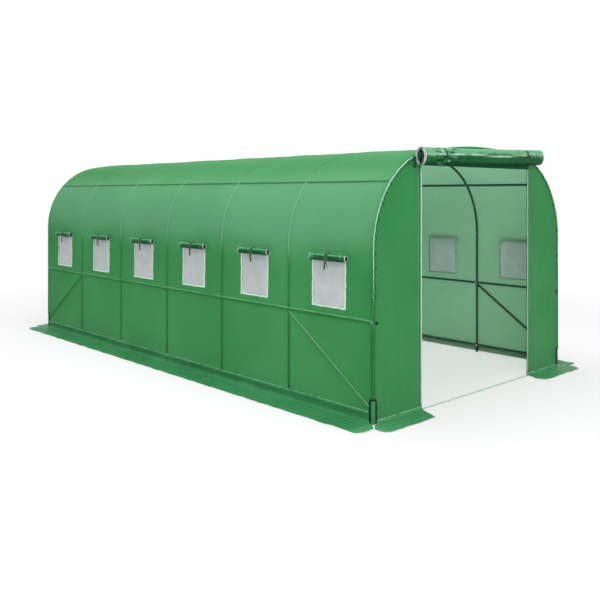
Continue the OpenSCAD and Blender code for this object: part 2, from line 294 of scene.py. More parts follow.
def painted_sheen(cloth):
    """How much painted sheen lies on the cover: most over the haunches, less on the crown, none on the walls
    """
    uneven = cloth.noise(cloth.place, 1.1, 3.0) * 0.36 - 0.18
    haunch = (cloth.z + uneven).rise(EAVES - 0.20, EAVES + 0.16)
    crown = (cloth.z + uneven * 0.4).rise(CROWN - 0.40, CROWN - 0.12)
    return haunch * (1 - crown * 0.90)


def dust_low_down(cloth, height):
    """Patches of splashed dust, from the ground up to this height"""
    return (1 - cloth.z.rise(0.02, height)) * cloth.noise(cloth.place, 8.0, 4.0).rise(0.40, 0.75)


def cover_finish():
    """The cover: satin green sheet, with a painted sheen over the haunches, painted shade on the crown, and
    painted highlight and shade lines over the tubes
    """
    cloth = Finish("cover_sheet")
    ground, tapes = sheet_grounds(cloth, SHEET_GREEN, SHEET_PALE)
    # The haunches get a painted sheen
    sheen_colour = cloth.blend(cloth.noise(cloth.place, 1.9, 3.0).rise(0.30, 0.72), SHEEN_GREEN, SHEEN_PALE)
    ground = cloth.coats(ground, (painted_sheen(cloth), sheen_colour),
                         # Painted shade darkens the crown
                         (cloth.z.rise(CROWN - 0.35, CROWN - 0.10) * 0.40, CROWN_SHADE_GREEN))
    broken = cloth.noise(cloth.place, 26.0, 3.0).rise(0.34, 0.60)
    patchy = cloth.noise(cloth.place, 5.0, 2.0).rise(0.30, 0.62)
    # Over the hoops, by the distance to the nearest one
    bays = cloth.y / BAY_LENGTH
    hoop_gap = abs(bays - bays.rounded()) * BAY_LENGTH
    haunch = cloth.z.rise(1.20, 1.42) * (1 - cloth.z.rise(1.98, 2.06))
    wall = 1 - cloth.z.rise(1.10, 1.45)
    # Painted highlight along each hoop, strongest over the haunch
    rubbed = hoop_gap.near(0, 0.0050, 0.0045) * (haunch * 0.94 + 0.06) * (0.72 + 0.28 * patchy)
    rubbed = rubbed * (1 - abs(cloth.y).rise(HOOPS[-1] - 0.06, HOOPS[-1] - 0.04) * 0.85)
    # Painted shade: a crease line beside each hoop, a strip beside the hoops below the waist rail and a patch
    # at each hoop's foot
    creased = hoop_gap.near(0.013, 0.004, 0.007) * broken * (haunch * 0.10 + wall * 0.24)
    below_waist = 1 - cloth.z.rise(WAIST_RAIL - 0.16, WAIST_RAIL - 0.03)
    low_hoop_shade = hoop_gap.near(0.003, 0.004, 0.008) * below_waist * (0.30 + 0.35 * patchy)
    foot = hoop_gap.near(0, 0.011, 0.008) * cloth.z.near(0.128, 0.010, 0.010) * 0.85
    # Over the rails: painted highlights above the waist and base rails, and painted shadows under the waist
    # rail and along the upper rail
    side = abs(cloth.x).rise(HALF_WIDTH - 0.05, HALF_WIDTH - 0.03)
    waist_highlight = cloth.z.near(WAIST_RAIL + 0.016, 0.003, 0.006) * side * (0.26 + 0.26 * patchy)
    waist_shadow = cloth.z.near(WAIST_RAIL - 0.002, 0.0036, 0.005) * side * 0.10
    upper_rail_shadow = cloth.z.near(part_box("upper_rail_left")[1].z - 0.004, 0.0045, 0.006) * 0.86
    base_rail_highlight = cloth.z.near(BASE_RAIL + 0.017, 0.003, 0.005) * side * (0.15 + 0.35 * patchy)
    # Over the sloping braces of the end bays: a painted highlight along the front braces and a painted shadow
    # beside them
    slope = (BRACE_HIGH - BRACE_LOW) / (BAY_LENGTH - 0.05)
    fall = BRACE_LOW + (-1 * (abs(cloth.y) - (HALF_LENGTH - 0.042))) * slope
    in_bay = abs(cloth.y).rise(HOOPS[-2] - 0.01, HOOPS[-2] + 0.02) * side
    at_front = 1 - cloth.y.rise(-0.5, 0.5)
    brace_gap = (cloth.z - fall) * math.cos(math.atan(slope))
    brace_highlight = brace_gap.near(0.002, 0.0044, 0.0044) * in_bay * (0.64 + 0.26 * patchy) * at_front
    brace_shadow = brace_gap.near(-0.007, 0.004, 0.005) * in_bay * (0.80 - 0.55 * at_front)
    # The first masks paint shade in the shade green and the next paint highlights in the highlight green; the
    # dust is real
    shaded = (creased, low_hoop_shade, foot, waist_shadow, upper_rail_shadow, brace_shadow)
    wear_and_highlights = (rubbed, waist_highlight, brace_highlight, base_rail_highlight)
    dusty = dust_low_down(cloth, 0.42)
    ground = cloth.coats(ground, *((mask, SHADE_GREEN) for mask in shaded),
                         *((mask, HIGHLIGHT_GREEN) for mask in wear_and_highlights), (dusty * 0.18, DUST))
    gloss = 0.42 + cloth.noise(cloth.place, 6.0, 2.0) * 0.16 + dusty * 0.15
    return cloth.done(0.38, SHINE_THROUGH, Base_Color=ground, Roughness=gloss, Specular_IOR_Level=0.14,
                      Normal=sheet_relief(cloth, tapes))


def lining_finish():
    """The inside of the cover: the same sheet, given a paler base colour as painted light for what shines
    through it, with real light coming through as well
    """
    cloth = Finish("cover_lining")
    # Paler base colours: painted light for the light that shines through the sheet
    ground, tapes = sheet_grounds(cloth, (0.480, 0.640, 0.540), (0.560, 0.710, 0.620))
    streaks = cloth.noise(cloth.stretched(cloth.place, (2.0, 6.0, 1.4)), 1.0, 3.0).rise(0.40, 0.75)
    ground = cloth.blend(streaks * 0.25, ground, (0.560, 0.740, 0.620))
    return cloth.done(0.60, (0.86, 0.98, 0.90), Base_Color=ground, Roughness=0.55, Specular_IOR_Level=0.20,
                      Normal=sheet_relief(cloth, tapes))


def end_sheet_finish():
    """The end walls: the same sheet, with painted shade and highlight strips beside the door posts, a painted
    shade line by each corner and a painted highlight along the top
    """
    cloth = Finish("end_sheet")
    ground, tapes = sheet_grounds(cloth, SHEET_GREEN, SHEET_PALE)
    streaky = cloth.noise(cloth.stretched(cloth.place, (22.0, 1.0, 1.1)), 1.0, 2.0).rise(0.35, 0.70)
    below_head = 1 - cloth.z.rise(DOOR_HEAD, DOOR_HEAD + 0.05)
    # Painted shade and painted highlight beside the door posts, a painted shade line by the corner and a
    # painted highlight at the top
    shade = abs(cloth.x).near(POST_LINE + 0.052, 0.018, 0.022) * below_head * 0.30
    light = abs(cloth.x).near(POST_LINE + 0.014, 0.004, 0.010) * below_head * 0.22
    post_crease_shade = abs(cloth.x).near(POST_LINE - 0.012, 0.002, 0.005) * below_head * 0.50
    corner = abs(cloth.x).near(HALF_WIDTH - 0.014, 0.003, 0.006) * (1 - cloth.z.rise(1.05, 1.35)) * 0.60
    peak_highlight = cloth.z.rise(CROWN - 0.060, CROWN - 0.030)
    dusty = dust_low_down(cloth, 0.40)
    ground = cloth.coats(ground, (streaky * 0.16, tuple(1.35 * channel for channel in SHEET_PALE)),
                         (shade, POST_SHADE), (light, HIGHLIGHT_GREEN), (post_crease_shade, SHADE_GREEN),
                         (corner, SHADE_GREEN), (peak_highlight, PEAK_HIGHLIGHT_GREEN), (dusty * 0.18, DUST))
    gloss = 0.44 + cloth.noise(cloth.place, 6.0, 2.0) * 0.16 + dusty * 0.12
    return cloth.done(0.38, SHINE_THROUGH, Base_Color=ground, Roughness=gloss, Specular_IOR_Level=0.22,
                      Normal=sheet_relief(cloth, tapes))


def roll_finish(name, dark, pale, lit, lit_from, hem_wide):
    """A rolled-up flap: folded sheet with painted light on top, painted shade below and in its fold hollows,
    painted highlights on its crests, loose ends and front fold, and white tape along its two ends.
    The attributes mark the top, the loose ends, the folds' crests, the outer layers and the end tape."""
    cloth = Finish(name)
    ground, tapes = sheet_grounds(cloth, dark, pale)
    folds = cloth.noise(cloth.stretched(cloth.place, (9.0, 9.0, 30.0)), 1.0, 3.0)
    facing_up = cloth.attribute("facing_up")
    crinkles = cloth.noise(cloth.stretched(cloth.place, (22.0, 22.0, 34.0)), 1.0, 2.0)
    loose = cloth.attribute("loose") * crinkles.rise(0.48, 0.60)
    crest = cloth.attribute("crest") + (folds * 0.4 - 0.2)
    # Painted light and shade: highlights on fold tops, light on the top, shade in the hollows and below,
    # highlights on the loose ends and crests and shade between them
    ground = cloth.coats(
        ground, (folds.rise(0.55, 0.75) * facing_up.rise(-0.1, 0.5) * 0.20, HIGHLIGHT_GREEN),
        ((facing_up + (folds * 0.5 - 0.25)).rise(lit_from, lit_from + 0.35), lit),
        ((1 - folds).rise(0.52, 0.70) * 0.40, SHADE_GREEN),
        (1 - facing_up.rise(-0.98, -0.55), FOLD_SHADE),
        (loose * facing_up.rise(-0.5, 0.3) * 0.60, LOOSE_END_HIGHLIGHT_GREEN),
        (crest.rise(0.25, 0.95) * 0.60, CREST_HIGHLIGHT_GREEN),
        ((-1 * crest).rise(0.12, 0.60) * 0.85, HOLLOW_SHADE))
    soil = cloth.noise(cloth.place, 60.0, 3.0).rise(0.42, 0.72)
    hem = cloth.blend(soil * 0.6, (0.66, 0.70, 0.69), (0.26, 0.31, 0.30))
    # The tape is painted dark in the inner layers as painted shade inside the roll
    hem = cloth.blend(1 - cloth.attribute("layer").rise(0.40, 0.80), hem, (0.030, 0.075, 0.050))
    ground = cloth.blend(1 - cloth.attribute("hem_gap").rise(hem_wide - 0.002, hem_wide + 0.001), ground, hem)
    # A painted highlight along the front fold
    ground = cloth.blend(cloth.attribute("fold_light"), ground, GLINT_GREEN)
    return cloth.done(Base_Color=ground, Roughness=0.34 + folds * 0.14, Specular_IOR_Level=0.05,
                      Normal=sheet_relief(cloth, tapes, 1.3))


def skirt_finish():
    """The skirt: bluer sheet lying on the ground, scuffed, painted lighter at the tunnel's ends, with a
    painted highlight along its seam and a painted shade line along its hem
    """
    cloth = Finish("skirt_sheet")
    ground, tapes = sheet_grounds(cloth, (0.030, 0.225, 0.070), (0.046, 0.280, 0.100))
    scuffs = cloth.noise(cloth.stretched(cloth.place, (7.0, 7.0, 7.0)), 1.0, 5.0, 0.6)
    ground = cloth.coats(ground, (scuffs.rise(0.52, 0.80) * 0.30, (0.060, 0.310, 0.140)),
                         ((1 - scuffs).rise(0.50, 0.72) * 0.30, (0.008, 0.105, 0.032)))
    wear_and_highlights = cloth.noise(cloth.place, 16.0, 2.0)
    seam = cloth.cross.near(0.0035, 0.0025, 0.003) * wear_and_highlights.rise(0.34, 0.58)
    # Painted light: lighter at the tunnel's ends, a painted highlight along the seam and a painted shade line
    # along the hem
    painted_light_at_ends = abs(cloth.y).rise(HALF_LENGTH - 0.06, HALF_LENGTH + 0.01)
    hem = cloth.attribute("hem_gap").near(0.016, 0.0012, 0.002)
    ground = cloth.coats(ground, (painted_light_at_ends * 0.55, (0.085, 0.370, 0.155)),
                         (seam * (0.55 + 0.40 * painted_light_at_ends), HIGHLIGHT_GREEN), (hem * 0.35, SHADE_GREEN))
    return cloth.done(0.08, SHINE_THROUGH, Base_Color=ground, Roughness=0.45 + scuffs * 0.15,
                      Specular_IOR_Level=0.26, Normal=sheet_relief(cloth, tapes, 1.6))


def tape_finish(name, pale, soiled, stitch):
    """Woven hem tape, with cross ribs and a row of stitches near each edge"""
    cloth = Finish(name)
    wear_and_highlights = cloth.noise(cloth.place, 22.0, 4.0)
    ground = cloth.blend(wear_and_highlights.rise(0.42, 0.72) * 0.75, pale, soiled)
    ribs = cloth.waves(cloth.run, 0.0022)
    rows = abs(cloth.cross).near(0.0055, 0.0006, 0.0006) * cloth.waves(cloth.run, 0.009).rise(-0.3, 0.1)
    ground = cloth.blend(rows * 0.6, ground, stitch)
    return cloth.done(Base_Color=ground, Roughness=0.62 + wear_and_highlights * 0.2, Sheen_Weight=0.15,
                      Normal=cloth.bump(ribs * 0.10 + rows * 0.5 + wear_and_highlights * 0.6, 0.0006))


def arch_piping_finish():
    """The piping round the ends: pale over the haunch, the sheet's own green over the crown and darker down
    the walls
    """
    cloth = Finish("arch_piping")
    wear_and_highlights = cloth.noise(cloth.place, 30.0, 4.0)
    ground = cloth.blend(wear_and_highlights.rise(0.45, 0.72) * 0.60, (0.34, 0.68, 0.46), (0.14, 0.42, 0.22))
    ground = cloth.blend(cloth.z.rise(CROWN - 0.18, CROWN - 0.05), ground, (0.110, 0.380, 0.170))
    ground = cloth.blend((1 - cloth.z.rise(0.80, 1.30)) * 0.92, ground, (0.050, 0.280, 0.100))
    return cloth.done(Base_Color=ground, Roughness=0.60, Specular_IOR_Level=0.30,
                      Normal=cloth.bump(wear_and_highlights, 0.0012))


def webbing_finish():
    """Dark green tie tape with paler rubbed edges"""
    cloth = Finish("tie_webbing")
    ground = cloth.blend(cloth.noise(cloth.place, 40.0, 2.0), (0.004, 0.052, 0.018), (0.012, 0.100, 0.036))
    ground = cloth.blend(cloth.attribute("rubbed_edge") * 0.60, ground, (0.30, 0.56, 0.38))
    return cloth.done(Base_Color=ground, Roughness=0.60, Specular_IOR_Level=0.08,
                      Normal=cloth.bump(cloth.weave(0.003, 0.002), 0.0003))


def mesh_finish():
    """The window screens: fine pale insect mesh that lets some light through"""
    cloth = Finish("window_mesh")
    along, beside = cloth.waves(cloth.run, 0.0045), cloth.waves(cloth.cross, 0.0045)
    threads = along.maths("MAXIMUM", beside).rise(-0.1, 0.8)
    cloudy = cloth.noise(cloth.place, 9.0, 4.0).rise(0.30, 0.75)
    specks = cloth.noise(cloth.place, 150.0, 2.0).rise(0.56, 0.72)
    ground = cloth.blend(cloudy, (0.650, 0.672, 0.694), (0.780, 0.798, 0.824))
    ground = cloth.blend(specks * 0.40, ground, (0.230, 0.235, 0.260))
    ground = cloth.blend(threads * 0.30, ground, (0.780, 0.780, 0.810))
    return cloth.done(0.25, (0.62, 0.64, 0.66), 0.10, Base_Color=ground, Roughness=0.70,
                      Normal=cloth.bump(threads, 0.0005))


def tube_finish():
    """Painted steel tube, a little scratched, with paler chips"""
    paint = Finish("frame_tube")
    peel = paint.noise(paint.place, 160.0, 2.0)
    patch = paint.noise(paint.place, 3.0, 3.0)
    scratch = paint.noise(paint.stretched(paint.place, (70.0, 8.0, 9.0)), 1.0, 4.0).rise(0.66, 0.74)
    ground = paint.blend(patch, (0.004, 0.040, 0.018), (0.010, 0.072, 0.034))
    ground = paint.blend(scratch * 0.5, ground, (0.10, 0.20, 0.13))
    return paint.done(Base_Color=ground, Roughness=0.32 + patch * 0.16, IOR=1.5, Coat_Weight=0.25,
                      Coat_Roughness=0.20, Normal=paint.bump(peel + scratch * -1.5, 0.0002))


def zinc_finish():
    """Zinc-plated bolts, screws and zip sliders"""
    plate = Finish("zinc_fittings")
    bloom = plate.noise(plate.place, 55.0, 4.0)
    ground = plate.blend(bloom.rise(0.35, 0.65), (0.34, 0.36, 0.36), (0.58, 0.59, 0.57))
    return plate.done(Base_Color=ground, Metallic=0.85, Roughness=0.30 + bloom * 0.25,
                      Normal=plate.bump(bloom, 0.0003))


def rubber_finish(name, dark, grey):
    """Dark piping, leg caps, toggles and corner bolts"""
    skin = Finish(name)
    grain = skin.noise(skin.place, 110.0, 3.0)
    ground = skin.blend(grain.rise(0.35, 0.70), dark, grey)
    return skin.done(Base_Color=ground, Roughness=0.45 + grain * 0.2, Specular_IOR_Level=0.20,
                     Normal=skin.bump(grain, 0.0005))


def thread_finish(name, pale, dark):
    """Thread, zip teeth and the small close-woven parts, mottled at the scale of their twist"""
    thread = Finish(name)
    twist = thread.noise(thread.place, 420.0, 2.0)
    ground = thread.blend(twist, dark, pale)
    return thread.done(Base_Color=ground, Roughness=0.65, Specular_IOR_Level=0.12,
                       Normal=thread.bump(twist, 0.0003))


COVER = cover_finish()
LINING = lining_finish()
END_SHEET = end_sheet_finish()
# The third colour is painted light for each roll's top, from the facing value given after it
DOOR_ROLL = roll_finish("rolled_door_sheet", (0.002, 0.088, 0.020), (0.006, 0.130, 0.036),
                        (0.120, 0.370, 0.180), 0.12, 0.012)
FLAP_ROLL = roll_finish("rolled_flap_sheet", (0.002, 0.066, 0.018), (0.006, 0.100, 0.032),
                        (0.085, 0.340, 0.145), 0.42, 0.008)
SKIRT = skirt_finish()
# A dark band painted in for the shadow under the rolled door
HEADING_SHADE = thread_finish("door_heading_shade", (0.006, 0.110, 0.034), (0.003, 0.070, 0.020))
# The sleeve's green is paler than the sheet: painted light that lifts it in the slot's shade
SLEEVE = thread_finish("corner_sleeve", (0.070, 0.300, 0.140), (0.045, 0.235, 0.100))
WINDOW_HEM = tape_finish("hem_tape", (0.70, 0.84, 0.74), (0.48, 0.62, 0.52), (0.34, 0.46, 0.38))
ZIP_TAPE = tape_finish("zip_tape", (0.46, 0.68, 0.52), (0.30, 0.50, 0.36), (0.18, 0.32, 0.22))
ARCH_PIPING = arch_piping_finish()
WEBBING = webbing_finish()
SCREEN = mesh_finish()
TUBE = tube_finish()
ZINC = zinc_finish()
DARK_PIPING = rubber_finish("dark_binding", (0.001, 0.010, 0.004), (0.003, 0.022, 0.009))
RUBBER = rubber_finish("rubber_feet", (0.004, 0.010, 0.007), (0.016, 0.026, 0.020))
SHADED_THREAD = thread_finish("shaded_thread", (0.008, 0.070, 0.026), (0.002, 0.026, 0.010))
SEAM_THREAD = thread_finish("seam_thread", (0.180, 0.480, 0.270), (0.090, 0.340, 0.150))
PUCKER_SHADE = thread_finish("shaded_pucker", (0.006, 0.105, 0.040), (0.002, 0.052, 0.020))
HOOP_THREAD = thread_finish("hoop_thread", (0.012, 0.215, 0.036), (0.006, 0.150, 0.024))
PALE_THREAD = thread_finish("pale_thread", (0.46, 0.76, 0.55), (0.26, 0.56, 0.36))
TEETH = thread_finish("zip_teeth", (0.66, 0.80, 0.70), (0.44, 0.60, 0.50))

# ---- Cutting and sewing cloth from plain numbers ----

def spaced(stops, fine_at, fine, coarse, reach, close=()):
    """Lines through all the stops: near together at the places in fine_at and within the close bands"""
    lines = [stops[0]]
    for start, end in zip(stops, stops[1:]):
        place = np.linspace(start, end, 240)
        step = fine + (coarse - fine) * np.clip(gap_to(place, fine_at) / reach, 0, 1)
        for low, high, limit in close:
            step = np.where((place > low) & (place < high), np.minimum(step, limit), step)
        count = np.concatenate([[0], np.cumsum((place[1] - place[0]) / step[1:])])
        cuts = max(1, round(count[-1]))
        lines.extend(np.interp(np.linspace(0, count[-1], cuts + 1)[1:], count, place))
    return np.array(lines)


def gap_to(value, places):
    """Distance to the nearest of some places"""
    return np.min(np.abs(np.asarray(value)[..., None] - np.asarray(places)), axis=-1)


def ripple(place, length, seed, terms=6):
    """Uneven waves of about this length, from about -1 to 1"""
    chance = np.random.default_rng(seed)
    waves = sum(np.sin(2 * np.pi * place / (length * chance.uniform(0.6, 1.7)) + chance.uniform(0, 6.28))
                for _ in range(terms))
    return waves / math.sqrt(terms)


def crumple(first, second, length, seed, terms=9):
    """Uneven waves that cross each other in all directions"""
    chance = np.random.default_rng(seed)
    waves = 0
    for _ in range(terms):
        turn, size = chance.uniform(0, math.pi), length * chance.uniform(0.5, 1.8)
        waves = waves + np.sin(2 * np.pi * (first * math.cos(turn) + second * math.sin(turn)) / size
                               + chance.uniform(0, 6.28))
    return waves / math.sqrt(terms)


def dip(gap, reach):
    """0 on a tube, rising to 1 well away from it"""
    return 1 - np.exp(-(gap / reach) ** 2)


def rounded_line(points):
    """The same line with its corners cut off twice"""
    points = np.asarray(points, float)
    for _ in range(2):
        near, far = 0.75 * points[:-1] + 0.25 * points[1:], 0.25 * points[:-1] + 0.75 * points[1:]
        cuts = np.stack([near, far], 1).reshape(-1, points.shape[1])
        points = np.concatenate([points[:1], cuts, points[-1:]])
    return points


def runs(line):
    """Distance travelled along a line at each of its points"""
    return np.concatenate([[0], np.cumsum(np.linalg.norm(np.diff(line, axis=0), axis=1))])


def unit(vectors):
    """The same directions with length 1"""
    return vectors / np.maximum(np.linalg.norm(vectors, axis=-1, keepdims=True), 1e-12)


def heading(line):
    """The direction of travel at each point of a line"""
    return unit(np.gradient(line, axis=0))


def at(*values):
    """Points from their x, y and z, where any of them may be one number for all"""
    return np.stack(np.broadcast_arrays(*values), -1)


def grid(points, cloth, keep=None, flip=False, **marks):
    """A cut part whose points are in rows: its face is the side that rows cross columns points to"""
    rows, columns = points.shape[:2]
    index = np.arange(rows * columns).reshape(rows, columns)
    faces = np.stack([index[:-1, :-1], index[1:, :-1], index[1:, 1:], index[:-1, 1:]], -1)
    faces = faces[keep] if keep is not None else faces.reshape(-1, 4)
    used, faces = np.unique(faces, return_inverse=True)
    faces = faces.reshape(-1, 4)
    if flip:
        faces = faces[:, ::-1]
    marks = {name: value.reshape(-1)[used] for name, value in marks.items()}
    return points.reshape(-1, 3)[used], faces.tolist(), cloth.reshape(-1, 2)[used], marks


def sweep(line, across, outward, section, scale=None, **marks):
    """A closed part: a section drawn across and outward, carried along a line and capped"""
    line, across, outward = (np.asarray(v, float) * np.ones((len(line), 1)) for v in (line, across, outward))
    section = np.asarray(section, float)
    scale = np.ones(len(line)) if scale is None else scale
    rings = (line[:, None] + (across[:, None] * section[None, :, :1]
                              + outward[:, None] * section[None, :, 1:]) * scale[:, None, None])
    count = len(section)
    index = np.arange(len(line) * count).reshape(len(line), count)
    after = np.roll(index, -1, axis=1)
    faces = np.stack([index[:-1], after[:-1], after[1:], index[1:]], -1).reshape(-1, 4).tolist()
    faces += [index[0][::-1].tolist(), index[-1].tolist()]
    half = len(line) // 2
    travel = line[half] - line[half - 1]
    if np.dot(np.cross(across[half], outward[half]), travel) < 0:
        faces = [face[::-1] for face in faces]
    cloth = np.stack([np.repeat(runs(line), count), np.tile(section[:, 0], len(line))], -1)
    marks = {name: np.tile(value, len(line)) for name, value in marks.items()}
    return rings.reshape(-1, 3), faces, cloth, marks


def tape(width, thick):
    """The section of a flat tape with soft edges"""
    half = width / 2
    return [(half, 0), (0.97 * half, 0.7 * thick), (0.8 * half, thick), (0, 1.1 * thick),
            (-0.8 * half, thick), (-0.97 * half, 0.7 * thick), (-half, 0)]


def piping(radius, sides=8):
    """The section of a round cord"""
    turns = np.arange(sides) * 2 * np.pi / sides
    return np.stack([radius * np.cos(turns), radius * np.sin(turns)], -1)


def piece(name, parts, finish, slot, stands_for=(), thick=0, offset=-1.0, lining=None):
    """One object from its cut parts, riding on the tunnel"""
    points, faces, cloth, marks = [], [], [], {}
    for part_points, part_faces, part_cloth, part_marks in parts:
        start = sum(map(len, points))
        points.append(part_points)
        faces.extend([[corner + start for corner in face] for face in part_faces])
        cloth.append(part_cloth)
        for mark, value in part_marks.items():
            marks.setdefault(mark, []).append(value)
    mesh = bpy.data.meshes.new(name)
    mesh.from_pydata(np.concatenate(points).tolist(), [], faces)
    mesh.polygons.foreach_set("use_smooth", np.ones(len(mesh.polygons), bool))
    corners = np.zeros(len(mesh.loops), np.int32)
    mesh.loops.foreach_get("vertex_index", corners)
    layer = mesh.uv_layers.new(name="cloth")
    layer.data.foreach_set("uv", np.concatenate(cloth)[corners].astype(np.float32).ravel())
    for mark, values in marks.items():
        mesh.attributes.new(mark, "FLOAT", "POINT").data.foreach_set(
            "value", np.concatenate(values).astype(np.float32))
    mesh.materials.append(finish)
    made = bpy.data.objects.new(name, mesh)
    bpy.context.scene.collection.objects.link(made)
    if thick:
        body = made.modifiers.new("sheet thickness", "SOLIDIFY")
        body.thickness, body.offset = thick, offset
        if lining:
            mesh.materials.append(lining)
            body.material_offset = 1
    return fitted(made, slot, stands_for)


def fitted(made, slot, stands_for=()):
    """The object, riding on the tunnel, with the nodes that it stands for hidden. slot is not used"""
    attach(made, "root")
    if stands_for:
        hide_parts(*stands_for)
    return made


# ---- Small fittings that repeat along a line ----

def stitch(bench, size):
    """A plump oval that lies along the seam"""
    ball = bench.add("GeometryNodeMeshIcoSphere", {}, {"Radius": 0.5, "Subdivisions": 1})
    return bench.add("GeometryNodeTransform", {}, {"Geometry": ball, "Scale": size})


def tooth(bench, size):
    """One tooth of a zip"""
    return bench.add("GeometryNodeMeshCube", {}, {"Size": size})


def bolt(bench, size):
    """A hexagon head on a washer, with a domed top"""
    parts = [bench.add("GeometryNodeMeshCylinder", {}, {"Vertices": sides, "Radius": radius, "Depth": depth})
             for sides, radius, depth in ((14, 0.95, 0.30), (6, 0.62, 1.10))]
    dome = bench.add("GeometryNodeMeshIcoSphere", {}, {"Radius": 0.42, "Subdivisions": 2})
    parts.append(bench.add("GeometryNodeTransform", {}, {"Geometry": dome, "Translation": (0, 0, 0.5)}))
    joined = bench.add("GeometryNodeJoinGeometry", {}, {0: parts})
    return bench.add("GeometryNodeTransform", {}, {"Geometry": joined, "Scale": size})


def eyelet(bench, size):
    """A pressed ring"""
    ring = bench.add("GeometryNodeCurvePrimitiveCircle", {}, {"Resolution": 14, "Radius": 0.8})
    rim = bench.add("GeometryNodeCurvePrimitiveCircle", {}, {"Resolution": 5, "Radius": 0.24})
    made = bench.add("GeometryNodeCurveToMesh", {}, {"Curve": ring, "Profile Curve": rim})
    return bench.add("GeometryNodeTransform", {}, {"Geometry": made, "Scale": size})


def foot_cap(bench, size):
    """A flared rubber cap under a tube"""
    parts = [bench.add("GeometryNodeMeshCone", {},
                       {"Vertices": 20, "Radius Top": 1.0, "Radius Bottom": low, "Depth": tall})
             for low, tall in ((1.0, 2.6), (1.06, 0.5))]
    joined = bench.add("GeometryNodeJoinGeometry", {}, {0: parts})
    return bench.add("GeometryNodeTransform", {}, {"Geometry": joined, "Scale": size})


def repeated(name, lines, fitting, size, finish, slot, spacing=None, slant=0.0):
    """Fittings along lines, or one on each point where there is no spacing.
    Each line is its points, the way that a fitting lies and the way that it faces."""
    points, edges, along, outward = [], [], [], []
    for line, lies, faces in lines:
        start = len(points)
        points.extend(np.asarray(line).tolist())
        edges.extend((start + step, start + step + 1) for step in range(len(line) - 1))
        along.append(np.asarray(lies, float) * np.ones((len(line), 1)))
        outward.append(np.asarray(faces, float) * np.ones((len(line), 1)))
    mesh = bpy.data.meshes.new(name + "_line")
    mesh.from_pydata(points, edges if spacing else [], [])
    for mark, vectors in (("lies", along), ("faces", outward)):
        mesh.attributes.new(mark, "FLOAT_VECTOR", "POINT").data.foreach_set(
            "vector", np.concatenate(vectors).astype(np.float32).ravel())
    carrier = bpy.data.objects.new(name + "_line", mesh)
    bpy.context.scene.collection.objects.link(carrier)

    tree = bpy.data.node_groups.new(name, "GeometryNodeTree")
    bench = Bench(tree)
    tree.interface.new_socket("Line", in_out="INPUT", socket_type="NodeSocketGeometry")
    wanted = {"Spacing": spacing or 1.0, "Length": size[0], "Width": size[1], "Height": size[2],
              "Slant": slant}
    sockets = {label: tree.interface.new_socket(label, in_out="INPUT", socket_type="NodeSocketFloat")
               for label in wanted}
    tree.interface.new_socket("Fittings", in_out="OUTPUT", socket_type="NodeSocketGeometry")
    given = bench.add("NodeGroupInput")
    if spacing:
        curve = bench.add("GeometryNodeMeshToCurve", {}, {0: given["Line"]})
        even = bench.add("GeometryNodeResampleCurve", {"mode": "LENGTH"},
                         {"Curve": curve, "Length": given["Spacing"]})
        places = bench.add("GeometryNodeCurveToPoints", {"mode": "EVALUATED"}, {0: even})
    else:
        places = bench.add("GeometryNodeMeshToPoints", {}, {0: given["Line"]})
    lies, faces = (bench.add("GeometryNodeInputNamedAttribute", {"data_type": "FLOAT_VECTOR"}, {"Name": mark})
                   for mark in ("lies", "faces"))
    lying = bench.add("FunctionNodeAlignRotationToVector", {"axis": "X"}, {"Vector": lies})
    facing = bench.add("FunctionNodeAlignRotationToVector", {"axis": "Z", "pivot_axis": "X"},
                       {"Rotation": lying, "Vector": faces})
    lean = bench.add("FunctionNodeAxisAngleToRotation", {}, {"Axis": (0, 0, 1), "Angle": given["Slant"]})
    turned = bench.add("FunctionNodeRotateRotation", {"rotation_space": "LOCAL"},
                       {"Rotation": facing, "Rotate By": lean})
    box = bench.add("ShaderNodeCombineXYZ", {}, {0: given["Length"], 1: given["Width"], 2: given["Height"]})
    placed = bench.add("GeometryNodeInstanceOnPoints", {},
                       {"Points": places, "Instance": fitting(bench, box), "Rotation": turned})
    real = bench.add("GeometryNodeRealizeInstances", {}, {0: placed})
    finished = bench.add("GeometryNodeSetMaterial", {}, {"Geometry": real, "Material": finish})
    bench.add("NodeGroupOutput", {}, {0: finished})

    maker = carrier.modifiers.new(name, "NODES")
    maker.node_group = tree
    for label, value in wanted.items():
        maker[sockets[label].identifier] = float(value)
    carrier.update_tag()
    drawn = carrier.evaluated_get(bpy.context.evaluated_depsgraph_get())
    result = bpy.data.objects.new(name, bpy.data.meshes.new_from_object(drawn))
    bpy.data.objects.remove(carrier)
    result.data.name = name
    bpy.context.scene.collection.objects.link(result)
    return fitted(result, slot)


# ---- Where the cover and the end walls lie ----

def arch(along):
    """Across, up and the outward direction on the arch, by distance from the crown"""
    side, run = np.sign(along), np.abs(along)
    in_crown, in_haunch = run < CROWN_RUN, run < CROWN_RUN + HAUNCH_RUN
    turn = np.where(in_crown, run / CROWN_RADIUS,
                    np.where(in_haunch, CROWN_TURN + (run - CROWN_RUN) / HAUNCH_RADIUS, math.pi / 2))
    across = np.where(in_crown, CROWN_RADIUS * np.sin(turn),
                      np.where(in_haunch, HAUNCH_MIDDLE + HAUNCH_RADIUS * np.sin(turn), HALF_WIDTH))
    height = np.where(in_crown, CROWN - CROWN_RADIUS * (1 - np.cos(turn)),
                      np.where(in_haunch, EAVES + HAUNCH_RADIUS * np.cos(turn), ARCH_RUN - run))
    return side * across, height, side * np.sin(turn), np.cos(turn)


def arch_outward(along):
    """The direction straight out of the cover at places on the arch"""
    _, _, out, up = arch(along)
    return at(out, 0.0, up)


